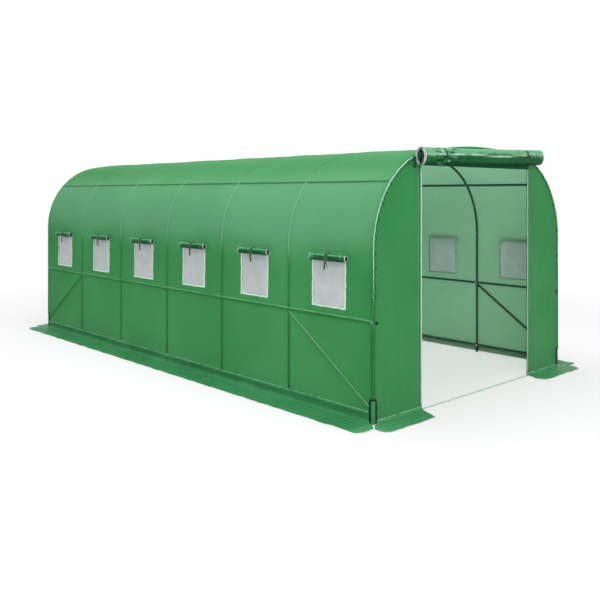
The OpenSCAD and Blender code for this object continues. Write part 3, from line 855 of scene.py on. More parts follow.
def share_between(place, marks):
    """How far a place is between the two marks round it, from 0 to 1, and which pair that is"""
    pair = np.clip(np.searchsorted(marks, place, side="right") - 1, 0, len(marks) - 2)
    return np.clip((place - marks[pair]) / (marks[pair + 1] - marks[pair]), 0, 1), pair


def brace_gap(along, y):
    """Distance to the sloping brace of an end bay"""
    foot = np.array([HOOPS[-1] - 0.025, BRACE_LOW])
    step = np.array([HOOPS[-2] + 0.025, BRACE_HIGH]) - foot
    out, height = np.abs(y) - foot[0], ARCH_RUN - np.abs(along) - foot[1]
    share = np.clip((out * step[0] + height * step[1]) / (step @ step), 0, 1)
    return np.hypot(out - share * step[0], height - share * step[1])


# How far the cover sags in the strips between its rails, from the left wall over the crown to the right.
PATCH_SAG = np.array([0.008, 0.010, 0.0015, 0.0015, 0.010, 0.008])


def cover_depth(along, y):
    """How far the cover's face lies inside the arch line: it rests on the tubes and sags between them,
    with puckers at the hoops and folds that are drawn to the windows"""
    bay, _ = share_between(y, HOOPS)
    strip, patch = share_between(along, RAIL_RUNS)
    hoop, rail, brace = gap_to(y, HOOPS), gap_to(along, RAIL_RUNS), brace_gap(along, y)
    height = ARCH_RUN - np.abs(along)
    open_field = np.sin(np.pi * bay) ** 0.8 * np.sin(np.pi * strip) ** 0.7 * dip(brace, 0.07)
    hug = dip(hoop, 0.014) * dip(rail, 0.014) * dip(brace, 0.014)
    end_hoop = np.where(np.abs(y) > HOOPS[-2] + BAY_LENGTH / 2, 2.0, 1.0)
    pucker = end_hoop * np.exp(-hoop / 0.030) * dip(hoop, 0.008) * ripple(along + 0.4 * y, 0.060, 11)
    window = np.hypot(np.maximum(gap_to(y, WINDOWS) - WINDOW_HALF, 0),
                      np.maximum(np.abs(height - (SILL + HEAD) / 2) - (HEAD - SILL) / 2, 0))
    drawn = np.exp(-window / 0.055) * ripple(1.3 * y + height, 0.070, 12)
    fan = np.exp(-window / 0.16) * crumple(along, y, 0.13, 13)
    return (TUBE_REST + PATCH_SAG[patch] * open_field + 0.0028 * hug + 0.0011 * pucker
            + (0.0012 * drawn + 0.0012 * fan) * np.sqrt(open_field)
            + 0.0022 * crumple(along, y, 0.42, 14) * open_field
            + 0.0008 * crumple(along, y, 0.12, 15) * open_field)


def on_cover(along, y, lift=0.0):
    """Points on the cover's face, lifted off it"""
    along, y = np.broadcast_arrays(np.asarray(along, float), np.asarray(y, float))
    across, height, out, up = arch(along)
    depth = cover_depth(along, y) - lift
    return at(across - depth * out, y, height - depth * up)


def wall_run(side, height):
    """The place on the arch at this height on the wall of one side"""
    return side * (ARCH_RUN - np.asarray(height, float))


# An end wall is drawn between its doorway's edge, share 0, and the arch, share 1.
SHOULDER_RUN = CROWN_RUN + HAUNCH_RADIUS * (math.radians(35) - CROWN_TURN)
ARCH_MARKS = [0, SHOULDER_RUN, CROWN_RUN + HAUNCH_RUN, ARCH_RUN]
DOOR_MARKS = [0, HALF_DOOR, HALF_DOOR + DOOR_HEAD - EAVES, HALF_DOOR + DOOR_HEAD]


def end_wall(end, along, share, lift=0.0):
    """Points on an end wall's face"""
    along, share = np.broadcast_arrays(np.asarray(along, float), np.asarray(share, float))
    arch_x, arch_z, _, _ = arch(along)
    run = np.interp(np.abs(along), ARCH_MARKS, DOOR_MARKS)
    door_x = np.sign(along) * np.minimum(run, HALF_DOOR)
    door_z = DOOR_HEAD - np.maximum(run - HALF_DOOR, 0)
    width = np.hypot(arch_x - door_x, arch_z - door_z)
    x, z = door_x + share * (arch_x - door_x), door_z + share * (arch_z - door_z)
    rim = (1 - share) * width
    tube = np.abs(rim - (HALF_WIDTH - TUBE_LINE))
    post = np.hypot(np.abs(x) - POST_LINE, np.maximum(z - DOOR_HEAD, 0))
    field = np.sin(np.pi * np.clip((share - 0.06) / 0.90, 0, 1)) ** 0.8 * (0.3 + 0.7 * (z < DOOR_HEAD))
    pucker = np.exp(-rim / 0.050) * dip(rim, 0.012) * ripple(along, 0.052, 21)
    drape = crumple(x, 0.12 * z, 0.16, 22) + 0.5 * crumple(x, 0.3 * z, 0.07, 23)
    depth = (TUBE_REST + 0.0030 * dip(tube, 0.014) * dip(post, 0.014) + 0.006 * field
             + 0.0026 * pucker + 0.0016 * drape * field - lift)
    return at(x, end * (HALF_LENGTH - depth), z)


# ---- The cover over the frame ----

COVER_NODES = ("wall_cover_left", "wall_cover_right", "haunch_cover_left", "haunch_cover_right",
               "crown_cover")
COVER_FOOT = 0.014
BRACED_STEP = 0.020


def cover_bay(number):
    """The cover over one bay, in one sheet from the ground on the left to the ground on the right"""
    start = -HALF_LENGTH if number == 0 else HOOPS[number]
    end = HALF_LENGTH if number == 5 else HOOPS[number + 1]
    centre, at_end = WINDOWS[number], number in (0, 5)
    window = [centre - WINDOW_HALF, centre + WINDOW_HALF]
    slots = [wall * (HALF_LENGTH - SLOT_WIDTH) for wall, bay in ((FRONT, 0), (BACK, 5)) if number == bay]
    y = spaced(sorted({start, end, *window, *slots}), [*HOOPS, *window], 0.0056, 0.040, 0.10,
               [(start, end, BRACED_STEP)] if at_end else [])
    heights = [COVER_FOOT, SLOT_HEIGHT, SILL, HEAD]
    stops = sorted(side * (ARCH_RUN - height) for side in (LEFT, RIGHT) for height in heights)
    braces = [side * (ARCH_RUN - 0.45) for side in (LEFT, RIGHT)]
    braced = [(place - 0.36, place + 0.36, BRACED_STEP) for place in braces]
    along = spaced(stops, [*RAIL_RUNS, *stops], 0.0062, 0.042, 0.10, braced if at_end else [])
    across_y, down = np.meshgrid(y, along)
    mid_y = (across_y[1:, 1:] + across_y[:-1, :-1]) / 2
    height = ARCH_RUN - np.abs(down[1:, 1:] + down[:-1, :-1]) / 2
    opening = (height > SILL) & (height < HEAD) & (np.abs(mid_y - centre) < WINDOW_HALF)
    slot = (height < SLOT_HEIGHT) & (np.abs(mid_y) > HALF_LENGTH - SLOT_WIDTH)
    part = grid(on_cover(down, across_y), at(down, across_y), ~(opening | slot))
    sheet = piece(f"cover_bay_{number + 1}", [part], COVER, "cover_sheet", COVER_NODES, SHEET, lining=LINING)
    width, length = end - start, 2 * (ARCH_RUN - COVER_FOOT)
    cut = width * length - 2 * (HEAD - SILL) * 2 * WINDOW_HALF


def end_sheet(end):
    """The sheet of an end wall, round its doorway"""
    stops = [-ARCH_RUN + 0.004, -ARCH_RUN + SLOT_HEIGHT, ARCH_RUN - SLOT_HEIGHT, ARCH_RUN - 0.004]
    along = spaced(stops, [-SHOULDER_RUN, SHOULDER_RUN], 0.0135, 0.023, 0.3)
    share = np.concatenate([np.linspace(0, 0.14, 13), np.linspace(0.19, 0.81, 14), np.linspace(0.85, 1, 14)])
    slot_share = 1 - (SLOT_WIDTH - 0.002) / PANEL_WIDTH
    share = np.sort(np.append(share, slot_share))
    across, up = np.meshgrid(share, along)
    points = end_wall(end, up, across)
    height = ARCH_RUN - np.abs(up[1:, 1:] + up[:-1, :-1]) / 2
    slot = (height < SLOT_HEIGHT) & (across[1:, 1:] > slot_share + 1e-6)
    name = END_NAMES[end]
    part = grid(points, points[..., [X, Z]], ~slot, flip=end == BACK)
    nodes = [f"{name}_panel_left", f"{name}_panel_right", f"{name}_header"]
    sheet = piece(f"{name}_end_sheet", [part], END_SHEET, "cover_sheet", nodes, SHEET, lining=LINING)
    arch_x, arch_z, _, _ = arch(np.linspace(-ARCH_RUN, ARCH_RUN, 400))


def back_door():
    """The back door, closed: a flat sheet between its two zips, with a turned-up hem"""
    x = np.linspace(-HALF_DOOR, HALF_DOOR, 64)
    z = np.linspace(0.005, DOOR_HEAD, 84)
    across, up = np.meshgrid(x, z)
    bay = np.sin(np.pi * np.clip((across + HALF_DOOR) / (2 * HALF_DOOR), 0, 1))
    rise = np.sin(np.pi * np.clip(up / (2 * DOOR_HEAD) + 0.5, 0, 1)) ** 0.5
    depth = (TUBE_REST + 0.0030 + 0.008 * bay ** 0.8 * rise
             + 0.004 * crumple(across, 0.18 * up, 0.34, 31) * bay
             + 0.0015 * crumple(across, 0.5 * up, 0.11, 32) * bay)
    points = at(across, HALF_LENGTH - depth, up)
    door = piece("back_door_sheet", [grid(points, points[..., [X, Z]])], END_SHEET, "cover_sheet",
                 ["back_door"], SHEET, lining=LINING)
    hem = at(x, HALF_LENGTH - depth[0] + 0.001, 0.024)
    piece("back_door_hem", [sweep(hem, (0, 0, 1), (0, 1, 0), tape(0.036, 0.0016))], SKIRT, "cover_sheet")


# ---- Seams, piping and lacing round the ends ----

LACING_FOOT = 0.95


def arch_seams(end):
    """The piping where an end wall meets the cover, with pale lacing loops, dark ovals that are painted shade
    in the puckers beside them, and rows of stitches
    """
    name = END_NAMES[end]
    along = np.linspace(-ARCH_RUN + SLOT_HEIGHT + 0.004, ARCH_RUN - SLOT_HEIGHT - 0.004, 420)
    across, height, _, _ = arch(along)
    outward = arch_outward(along)
    line = at(across, end * (HALF_LENGTH - 0.0030), height)
    line = line - outward * (cover_depth(along, end * HALF_LENGTH) + 0.0010)[:, None]
    line += outward * (0.0009 * ripple(along, 0.10, 41))[:, None]
    thin = 0.42 + 0.58 * np.clip((height - 0.95) / 0.5, 0, 1)
    thin *= 1 + 0.08 * ripple(along, 0.05, 42)
    piece(f"{name}_arch_piping", [sweep(line, outward, (0, end, 0), piping(0.0048), thin)],
          ARCH_PIPING, "hem_tape")

    panel_width = np.interp(np.abs(along), ARCH_MARKS, [0.19, 0.32, 0.63, 0.63])
    pucker_line, looped, sewn = (end_wall(end, along, 1 - inward / panel_width, 0.0010)
                           for inward in (0.0265, 0.0160, 0.038))
    steps = np.cumsum(np.random.default_rng(43).uniform(0.040, 0.088, 200))
    on_arch = steps + LACING_FOOT - ARCH_RUN
    steps = on_arch[(steps < 2 * (ARCH_RUN - LACING_FOOT)) & (np.abs(on_arch) > 0.50)]
    nearest = np.abs(along[None] - steps[:, None]).argmin(1)
    # The dark ovals are painted shade in the puckers beside the lacing
    for label, seam, chosen, size, finish, slot, slant in (
            ("puckers", pucker_line, nearest[::2], (0.040, 0.0240, 0.0070), PUCKER_SHADE, "cover_sheet", 30),
            ("small_puckers", pucker_line, nearest[1::2], (0.028, 0.0190, 0.0070), PUCKER_SHADE, "cover_sheet", 55),
            ("loops", looped, nearest, (0.026, 0.0060, 0.0050), PALE_THREAD, "hem_tape", -50)):
        ways = heading(seam)
        spots = [(seam[spot][None], ways[spot], (0, end, 0)) for spot in chosen]
        repeated(f"{name}_arch_{label}", spots, stitch, size, finish, slot, slant=end * math.radians(slant))
    repeated(f"{name}_arch_stitches", [(sewn, heading(sewn), (0, end, 0))], stitch, (0.012, 0.0028, 0.0022),
             SEAM_THREAD, "hem_tape", 0.021)
    top = along[np.abs(along) < ARCH_RUN - 0.85]
    for row, inset in enumerate((0.012, 0.029)):
        seam = on_cover(top, end * (HALF_LENGTH - inset), 0.0006)
        repeated(f"{name}_cover_stitches_{row}", [(seam, heading(seam), arch_outward(top))], stitch,
                 (0.013, 0.0030, 0.0024), SEAM_THREAD, "hem_tape", 0.024)


def hoop_seams():
    """The two rows of stitches over each inner hoop, where the cover's panels are sewn together"""
    along = np.linspace(-ARCH_RUN + 0.10, ARCH_RUN - 0.10, 420)
    height = arch(along)[1]
    below_waist, below_eaves = WAIST_RAIL - 0.02, EAVES - 0.10
    # Copies of one thread: dark below the waist rail as painted shade, the sheet's green on the walls and
    # pale over the roof as painted highlight
    for name, low, high, thread in (("foot", 0, below_waist, SHADED_THREAD),
                                    ("wall", below_waist, below_eaves, HOOP_THREAD),
                                    ("roof", below_eaves, CROWN + 1, SEAM_THREAD)):
        lines = []
        for side in (LEFT, RIGHT):
            sewn = along[(along * side > 0) & (height >= low) & (height < high)]
            for hoop in HOOPS[1:-1]:
                for gap in (-0.009, 0.009):
                    seam = on_cover(sewn, hoop + gap, 0.0005)
                    lines.append((seam, heading(seam), arch_outward(sewn)))
        repeated(f"hoop_stitches_{name}", lines, stitch, (0.014, 0.0026, 0.0020), thread, "cover_sheet",
                 0.026)


# The sleeve's plan, as distances in from the side and from the end of the tunnel.
SLEEVE_INSET = [(0.0115, 0.052), (0.0085, 0.040), (0.0022, 0.022), (0.0024, 0.0060), (0.0060, 0.0024),
                (0.022, 0.0022), (0.040, 0.0085), (0.052, 0.0115)]


def corner_slots():
    """The slot at the foot of each corner: dark piping round it and a green sleeve on the leg behind it"""
    inset = rounded_line(SLEEVE_INSET)
    plan_x, plan_y = HALF_WIDTH - inset[:, 0], HALF_LENGTH - inset[:, 1]
    rise = np.linspace(0.004, SLOT_HEIGHT + 0.004, 16)[:, None]
    fold = 0.0010 * ripple(rise, 0.09, 71)
    up = np.linspace(0.006, SLOT_HEIGHT - 0.018, 14)
    gaps, top = np.array([0.028, 0.008]), np.array([SLOT_HEIGHT - 0.004, SLOT_HEIGHT])
    lift = 0.0010
    cords, sleeves = [], []
    for side, end in CORNERS:
        line = rounded_line(np.concatenate([
            on_cover(wall_run(side, up), end * (HALF_LENGTH - SLOT_WIDTH), lift),
            on_cover(wall_run(side, top), end * (HALF_LENGTH - gaps), lift),
            end_wall(end, wall_run(side, top[::-1]), 1 - gaps[::-1] / PANEL_WIDTH, lift),
            end_wall(end, wall_run(side, up[::-1]), 1 - SLOT_WIDTH / PANEL_WIDTH, lift)]))
        travel = heading(line)
        across = unit(np.cross(travel, unit(np.array([side, end, 0.0]))))
        thick = 1 + 0.9 * np.exp(-((np.arange(len(line)) - len(line) + 3) / 2.5) ** 2)
        cords.append(sweep(line, across, unit(np.cross(across, travel)), piping(0.0072, 10), thick))
        sleeves.append(grid(at(side * plan_x + side * fold, end * plan_y, rise), at(rise, runs(inset)),
                            flip=side * end > 0))
    piece("corner_slot_piping", cords, DARK_PIPING, "dark_binding", ["corner_bindings"])
    piece("corner_sleeves", sleeves, SLEEVE, "cover_sheet", (), 0.0010)


# ---- The skirt ----

# A skirt's fall from the wall to its hem, as distances out from the wall and heights.
SIDE_FALL = [(-0.0008, 0.1010), (0.0018, 0.0900), (0.0030, 0.0780), (-0.0010, 0.0620), (-0.0018, 0.0470),
             (-0.0014, 0.0300), (0.0060, 0.0150), (0.0220, 0.0085), (0.0400, 0.0070), (0.0560, 0.0105),
             (0.0680, 0.0062), (0.0960, 0.0066), (0.1160, 0.0110), (0.1290, 0.0062), (0.1700, 0.0070),
             (0.2150, 0.0056), (0.2560, 0.0036)]
END_FALL = [(-0.0010, 0.0340), (0.0012, 0.0270), (0.0036, 0.0200), (0.0100, 0.0130), (0.0230, 0.0085),
            (0.0450, 0.0068), (0.0700, 0.0100), (0.0850, 0.0064), (0.1300, 0.0070), (0.1720, 0.0060),
            (0.2160, 0.0036)]
FLARE, CORNER_ROUND = 0.080, 0.080
DOOR_SPREAD, DOOR_CUT_BACK = 0.050, 0.10


def skirt(name, node, fall, inner, outer, place, flip):
    """A skirt from its fall, as points out from the wall and up, between its two ends along the wall.
    An end that meets a corner of the tunnel flares out past it and is rounded; inner is None there.
    Beside a doorway the left skirts are cut back, and the right ones spread and are rounded."""
    fall = rounded_line(fall)
    out, height = fall[:, X], fall[:, 1]
    width = out[-1]
    over = np.clip(out - (width - CORNER_ROUND), 0, CORNER_ROUND)
    rounding = CORNER_ROUND - np.sqrt(CORNER_ROUND ** 2 - over ** 2)
    high = outer + np.interp(out, [0.002, 0.024, 0.088], [-0.046, 0.014, FLARE]) - rounding
    if inner is None:
        low = -high
    elif name.endswith("right"):
        low = inner - np.interp(out, [0.010, 0.110], [0, DOOR_SPREAD]) + rounding
    else:
        low = inner + DOOR_CUT_BACK * np.clip(out / width, 0, 1)
    share = np.linspace(0, 1, max(12, round((outer - (inner or -outer)) / 0.040)))[:, None]
    along = low + (high - low) * share
    spread = np.broadcast_to(out, along.shape)
    loose = np.clip(spread / 0.20, 0, 1)
    seed = sum(map(ord, name))
    fold = 0.056 + 0.006 * ripple(along, 0.8, seed + 2)
    lifted = (height + 0.0030 * loose * (1 + ripple(along + 0.3 * spread, 0.30, seed))
              + 0.0012 * crumple(along, spread, 0.09, seed + 1) * loose
              + 0.0030 * np.exp(-((spread - fold) / 0.006) ** 2))
    lying = spread * (spread < width - 0.004)
    spread = (spread + 0.0026 * ripple(along, 0.24, seed + 3) * np.clip(lying / 0.05, 0, 1)
              + 0.0008 * ripple(along, 0.09, seed + 4) * (spread < 0.03))
    drop = runs(fall)
    part = grid(place(along, spread, np.maximum(lifted, 0.0024)), at(along, drop), flip=flip,
                hem_gap=np.broadcast_to(drop[-1] - drop, along.shape))
    made = piece(name, [part], SKIRT, "skirt_sheet", [node], SHEET)
    flat = (float(high.max() - low.min()), float(drop[-1]))
    float(np.mean(high - low)) * flat[1]


def skirts():
    """The skirts of both sides, and of the four panels beside the doorways"""
    for side, label in SIDE_NAMES.items():
        skirt(f"side_skirt_{label}", f"skirt_{label}", SIDE_FALL, None, HALF_LENGTH,
              lambda along, out, height, side=side: at(side * (HALF_WIDTH + out), along, height),
              side == RIGHT)
        for end, name in END_NAMES.items():
            skirt(f"{name}_skirt_{label}", f"{name}_skirts", END_FALL, HALF_DOOR + 0.002, HALF_WIDTH,
                  lambda along, out, height, side=side, end=end: at(
                      side * along, end * (HALF_LENGTH + out), height),
                  side * end < 0)


# ---- The doorways ----

def zips():
    """The zip up each edge of both doorways: woven tape, teeth and a slider. The closed back door has both
    rows of teeth, and the open front doorway one."""
    tapes, rows, sliders = [], [], []
    for end in (FRONT, BACK):
        for side in (LEFT, RIGHT):
            closed = end == BACK
            height = np.linspace(0.0045, DOOR_HEAD, 150)
            wave = 0.0008 * ripple(height, 0.16, 50 + side + 3 * end)
            face = end_wall(end, wall_run(side, 0.004), 0.0)[Y] + end * 0.0012
            edge = at(side * (HALF_DOOR + 0.0055) + wave, face, height)
            tapes.append(sweep(edge, (1, 0, 0), (0, end, 0), tape(0.021 if closed else 0.0165, 0.0014)))
            for gap, start in ((-0.0016, 0), (0.0016, 1)) if closed else ((-0.0058, 0),):
                row = edge[start:] + np.array([side * gap, end * 0.0016, 0])
                rows.append((row, (1, 0, 0), (0, end, 0)))
            foot = edge[6 if closed else 3] + np.array([0, end * 0.004, 0])
            sliders.append((foot[None], (0, 0, 1), (0, end, 0)))
    piece("zip_tapes", tapes, ZIP_TAPE, "zip_tape", ["door_zips"])
    repeated("zip_teeth", rows, tooth, (0.0046, 0.0030, 0.0026), TEETH, "zip_tape", 0.0058)
    repeated("zip_sliders", sliders, bolt, (0.012, 0.006, 0.004), ZINC, "zip_tape")


def threshold():
    """The pale hem tape across the ground in the open doorway"""
    x = np.linspace(-HALF_DOOR, HALF_DOOR, 60)
    line = at(x, -HALF_LENGTH + 0.010 + 0.0012 * ripple(x, 0.5, 61), 0.0008)
    piece("doorway_threshold", [sweep(line, (0, 1, 0), (0, 0, 1), tape(0.027, 0.0024))], WINDOW_HEM,
          "hem_tape", ["door_threshold"])


def door_heading_shadows():
    """A dark green band along the top of each doorway: painted shadow under the rolled door, made the same at
    the back
    """
    x = np.linspace(-HALF_DOOR - 0.004, HALF_DOOR + 0.004, 90)
    lines = []
    for end in (FRONT, BACK):
        line = at(x, end * (HALF_LENGTH - 0.0012 + 0.0006 * ripple(x, 0.30, 63)), DOOR_HEAD + 0.030)
        lines.append(sweep(line, (0, 0, 1), (0, end, 0), tape(0.058, 0.0022)))
    piece("door_heading_shadows", lines, HEADING_SHADE, "cover_sheet")


# ---- The rolled-up door and window flaps ----

# The rolls lie this much nearer the wall than their solids, and those of the windows nearer the front.
NEARER_WALL, NEARER_FRONT = 0.012, 0.026
STRAP_INSET = 0.20
# How rubbed a tie tape is at each point of its section.
TIE_EDGES = np.array([1, 0.8, 0, 0, 0, 0.8, 1])


class Roll:
    """A sheet rolled up from its free edge, whose last stretch climbs the wall behind it.
    The roll lies along its axis and out is the way from the wall. Its radius grows from the core to the
    outside, cut is the length of sheet in it, and half is half its own length. Each pinch is a tie: its
    place, how deep it cuts in, how far its folds reach and how big they are. lean is its slope, flared
    how much its ends widen, and flat how far it is pressed to the wall."""

    up = np.array([0, 0, 1.0])

    def __init__(self, centre, axis, out, radius, core, cut, half, pinches, seed, lean, flared, flat):
        self.centre, self.axis, self.out = (np.array(value, float) for value in (centre, axis, out))
        self.radius, self.core, self.cut, self.half = radius, core, cut, half
        self.pinches, self.seed, self.lean, self.flared, self.flat = pinches, seed, lean, flared, flat

    def share(self, along):
        """0 at the middle of the roll's length and 1 at its ends"""
        return np.abs(along) / self.half

    def glint(self, along):
        """The turn at which a fold runs along the roll's front"""
        return -0.16 + 0.10 * ripple(along, 0.9, self.seed + 5)

    def folds(self, along, turn):
        """The folds that gather at the ties"""
        size, seed, total = self.radius, self.seed, 0
        for place, _, reach, fold in self.pinches:
            gap = (along - place) / size
            waves = (np.sin(4 * turn + 1.7 * gap + seed) + 0.7 * np.sin(7 * turn - 2.6 * gap + 2 * seed)
                     + 0.6 * np.sin(11 * turn + 1.3 * gap) + 0.5 * np.sin(2 * turn + 4.5 * gap))
            total = total + fold * waves * np.exp(-np.abs(gap) * size / reach) * dip(gap, 0.2)
        return total

    def swell(self, along, turn):
        """The roll's radius at a place, over its plain radius"""
        seed, size = self.seed, self.radius
        wave = (0.020 * crumple(along, size * np.sin(turn), 7 * size, seed)
                + 0.018 * np.sin(2 * turn + 1.3 + 2.0 * along))
        for place, depth, _, _ in self.pinches:
            wave = wave - depth * np.exp(-((along - place) / (0.28 * size)) ** 2)
        ridge = np.exp(-(np.angle(np.exp(1j * (turn - self.glint(along)))) / 0.10) ** 2)
        return 1 + wave + self.folds(along, turn) + 0.035 * ridge

    def skin(self, along, turn, radius, lift=0.0):
        """Points on the roll, by place along it, turn round it and radius"""
        along, turn, radius = np.broadcast_arrays(*(np.asarray(v, float) for v in (along, turn, radius)))
        size = radius * self.swell(along, turn) + lift
        flare = self.flared * np.clip((self.share(along) - 0.80) / 0.20, 0, 1)
        sag = self.lean * along - 0.01 * self.radius * (1 - self.share(along) ** 2)
        return (self.centre + along[..., None] * self.axis
                + (size * self.flat * (1 - 1.5 * flare) * np.cos(turn))[..., None] * self.out
                + (sag - size * (1 + flare) * np.sin(turn))[..., None] * self.up)

    def sheet(self, name, finish, node, steps, stations, climb, taper, wall_gap, glow, rests_on, with_pieces):
        """The rolled sheet: steps are its points to a turn and stations along it, climb is how far it goes
        up the wall, taper how narrow it is there, and glow how strong the painted highlight along its front
        fold is"""
        turns = self.cut / (math.pi * (self.radius + self.core))
        turn = np.linspace(math.pi - 2 * math.pi * turns, math.pi, round(steps * turns))
        radius = np.linspace(self.core, self.radius, len(turn))[:, None]
        ends = [-self.half, self.half]
        along = spaced(ends, [*ends, *(pinch[0] for pinch in self.pinches)], self.half * 1.1 / stations,
                       self.half * 2.6 / stations, 0.2 * self.half)
        across, around = np.meshgrid(along, turn)
        pull = np.sign(across) * np.clip((self.share(across) - 0.86) / 0.14, 0, 1) * self.radius
        uneven = 0.055 * np.sin(1.7 * around) + 0.05 * np.sin(0.6 * around + self.seed) - 0.09
        points = self.skin(across, around, radius) + (pull * uneven)[..., None] * self.axis
        last, rise = points[-1], np.linspace(0, 1, 9)[1:, None]
        to_wall = (wall_gap - (last - self.centre) @ self.out) * np.minimum(1, 1.6 * rise)
        tail = (last + (self.up * climb) * rise[..., None] + self.out * to_wall[..., None]
                - self.axis * ((1 - taper) * along * rise ** 0.5)[..., None])
        points = np.concatenate([points, tail])
        run = runs(points[:, len(along) // 2])

        def marked(rolled, climbing=0.0):
            rolled = np.broadcast_to(rolled, across.shape)
            return np.concatenate([rolled, np.full((len(rise), len(along)), climbing)])

        # fold_light paints a highlight along the front fold; facing_up and crest set where light and shade
        # are painted on the roll
        light = np.exp(-((around - self.glint(across)) / 0.085) ** 2)
        light = light * (0.85 + 0.30 * ripple(across, 0.22, self.seed + 6))
        marks = {"fold_light": marked(np.clip(light * glow, 0, 1)),
                 "facing_up": marked(-np.sin(around), 1.0),
                 "layer": marked((radius - self.core) / (self.radius - self.core), 1.0),
                 "hem_gap": marked(self.half - np.abs(across), 1.0),
                 "loose": marked(np.clip((self.share(across) - 0.70) / 0.04, 0, 1)),
                 "crest": marked(np.clip(self.folds(across, around) / 0.05, -1, 1))}
        faces_in = bool(np.dot(np.cross(-self.up, self.axis), self.out) < 0)
        part = grid(points, at(run[:, None], along), flip=faces_in, **marks)
        made = piece(name, [part], finish, "rolled_sheet", [node], ROLLED_SHEET, 0.0)
        float(run[-1])
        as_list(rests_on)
        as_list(with_pieces)

    def band(self, place, width, thick, from_turn, to_turn, ends):
        """A strap round the roll, with its two ends led to the wall"""
        line = self.skin(place, np.linspace(from_turn, to_turn, 40), self.radius, 0.0012)
        line = np.concatenate([[ends[0]], line, [ends[1]]])
        outward = unit(np.cross(self.axis, heading(line)))
        if outward[20] @ (line[20] - self.centre - place * self.axis) < 0:
            outward = -outward
        return sweep(line, self.axis, outward, tape(width, thick), rubbed_edge=TIE_EDGES)


def front_door_roll():
    """The open front door, rolled up over the doorway, with two straps and a loose end at the left"""
    low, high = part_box("front_door_roll")
    out, height = -(low.y + high.y) / 2 - NEARER_WALL, (low.z + high.z) / 2
    left, right = (side * (HALF_DOOR - STRAP_INSET) for side in (LEFT, RIGHT))
    roll = Roll((0, -out, height + 0.006), (1, 0, 0), (0, -1, 0), (high.z - low.z) / 2, 0.017,
                DOOR_HEAD + 0.05, high.x, [(left, 0.15, 0.11, 0.062), (right, 0.11, 0.06, 0.022)], 5,
                lean=0.026, flared=0.06, flat=0.78)
    bands = []
    for place in (left, right):
        high_end = np.array([place, -HALF_LENGTH + 0.004, CROWN - 0.060])
        low_end = np.array([place, -HALF_LENGTH + 0.003, DOOR_HEAD + 0.004])
        bands.append(roll.band(place, 0.022, 0.0020, -2.3, 2.2, (high_end, low_end)))
    fall = np.linspace(0, 1, 14)
    hanging = at(-high.x - 0.004 - 0.008 * np.sin(2.6 * fall),
                 -HALF_LENGTH - 0.012 - 0.012 * np.sin(3 * fall), height - 0.016 - 0.104 * fall)
    bands.append(sweep(hanging, (1, 0, 0), (0, -1, 0), tape(0.034, 0.005), rubbed_edge=0.1 * TIE_EDGES))
    piece("front_door_straps", bands, WEBBING, "rolled_sheet", ["front_door_ties"])
    roll.sheet("front_door_roll_sheet", DOOR_ROLL, "front_door_roll", steps=34, stations=84, climb=0.040,
               taper=0.66, wall_gap=HALF_LENGTH - out - 0.003, glow=1.0, rests_on=["front_end_sheet"],
               with_pieces=["front_door_straps"])


# ---- The windows ----

# A screen reaches this far past its window, and a flap's tie is this far behind its middle.
SCREEN_OVERLAP = 0.012
TIE_PLACE = 0.014


def window_screen(side, label, number, centre):
    """The mesh screen of one window, with the hem tapes round it"""
    seed = 100 + 10 * number + side
    y = np.linspace(centre - WINDOW_HALF - SCREEN_OVERLAP, centre + WINDOW_HALF + SCREEN_OVERLAP, 20)
    height = np.linspace(SILL - SCREEN_OVERLAP, HEAD + SCREEN_OVERLAP, 22)
    across, up = np.meshgrid(y, height)
    inside = (np.cos(np.pi * np.clip((across - centre) / (2 * WINDOW_HALF), -0.5, 0.5))
              * np.sin(np.pi * np.clip((up - SILL) / (HEAD - SILL), 0, 1)))
    slack = 0.003 * inside * (1 + 0.5 * crumple(across, up, 0.16, seed))
    points = on_cover(wall_run(side, up), across, -SHEET - 0.0008 - slack)
    mesh = grid(points, at(up, across), flip=side == RIGHT)
    screen = piece(f"window_screen_{label}_{number}", [mesh], SCREEN, "window_mesh",
                   [f"window_screens_{label}"], 0.0005)
    bars = []
    for place in (-1, 1):
        rise = np.linspace(SILL - HEM, HEAD + 0.004, 44)
        wave = 0.0016 * ripple(rise, 0.11, seed + place)
        line = on_cover(wall_run(side, rise), centre + place * (WINDOW_HALF + HEM / 2) + wave, 0.0002)
        bars.append(sweep(line, (0, 1, 0), (side, 0, 0), tape(HEM, 0.0014)))
    for rise, lift in ((SILL - HEM / 2, 0.0006), (HEAD + HEM / 2, 0.0002)):
        span = np.linspace(centre - WINDOW_HALF - HEM, centre + WINDOW_HALF + HEM, 44)
        wave = 0.0014 * ripple(span, 0.13, seed + 7)
        line = on_cover(wall_run(side, rise + wave), span, lift)
        bars.append(sweep(line, (0, 0, 1), (side, 0, 0), tape(HEM, 0.0014)))
    hem = piece(f"window_hem_{label}_{number}", bars, WINDOW_HEM, "hem_tape", ["window_hems"])


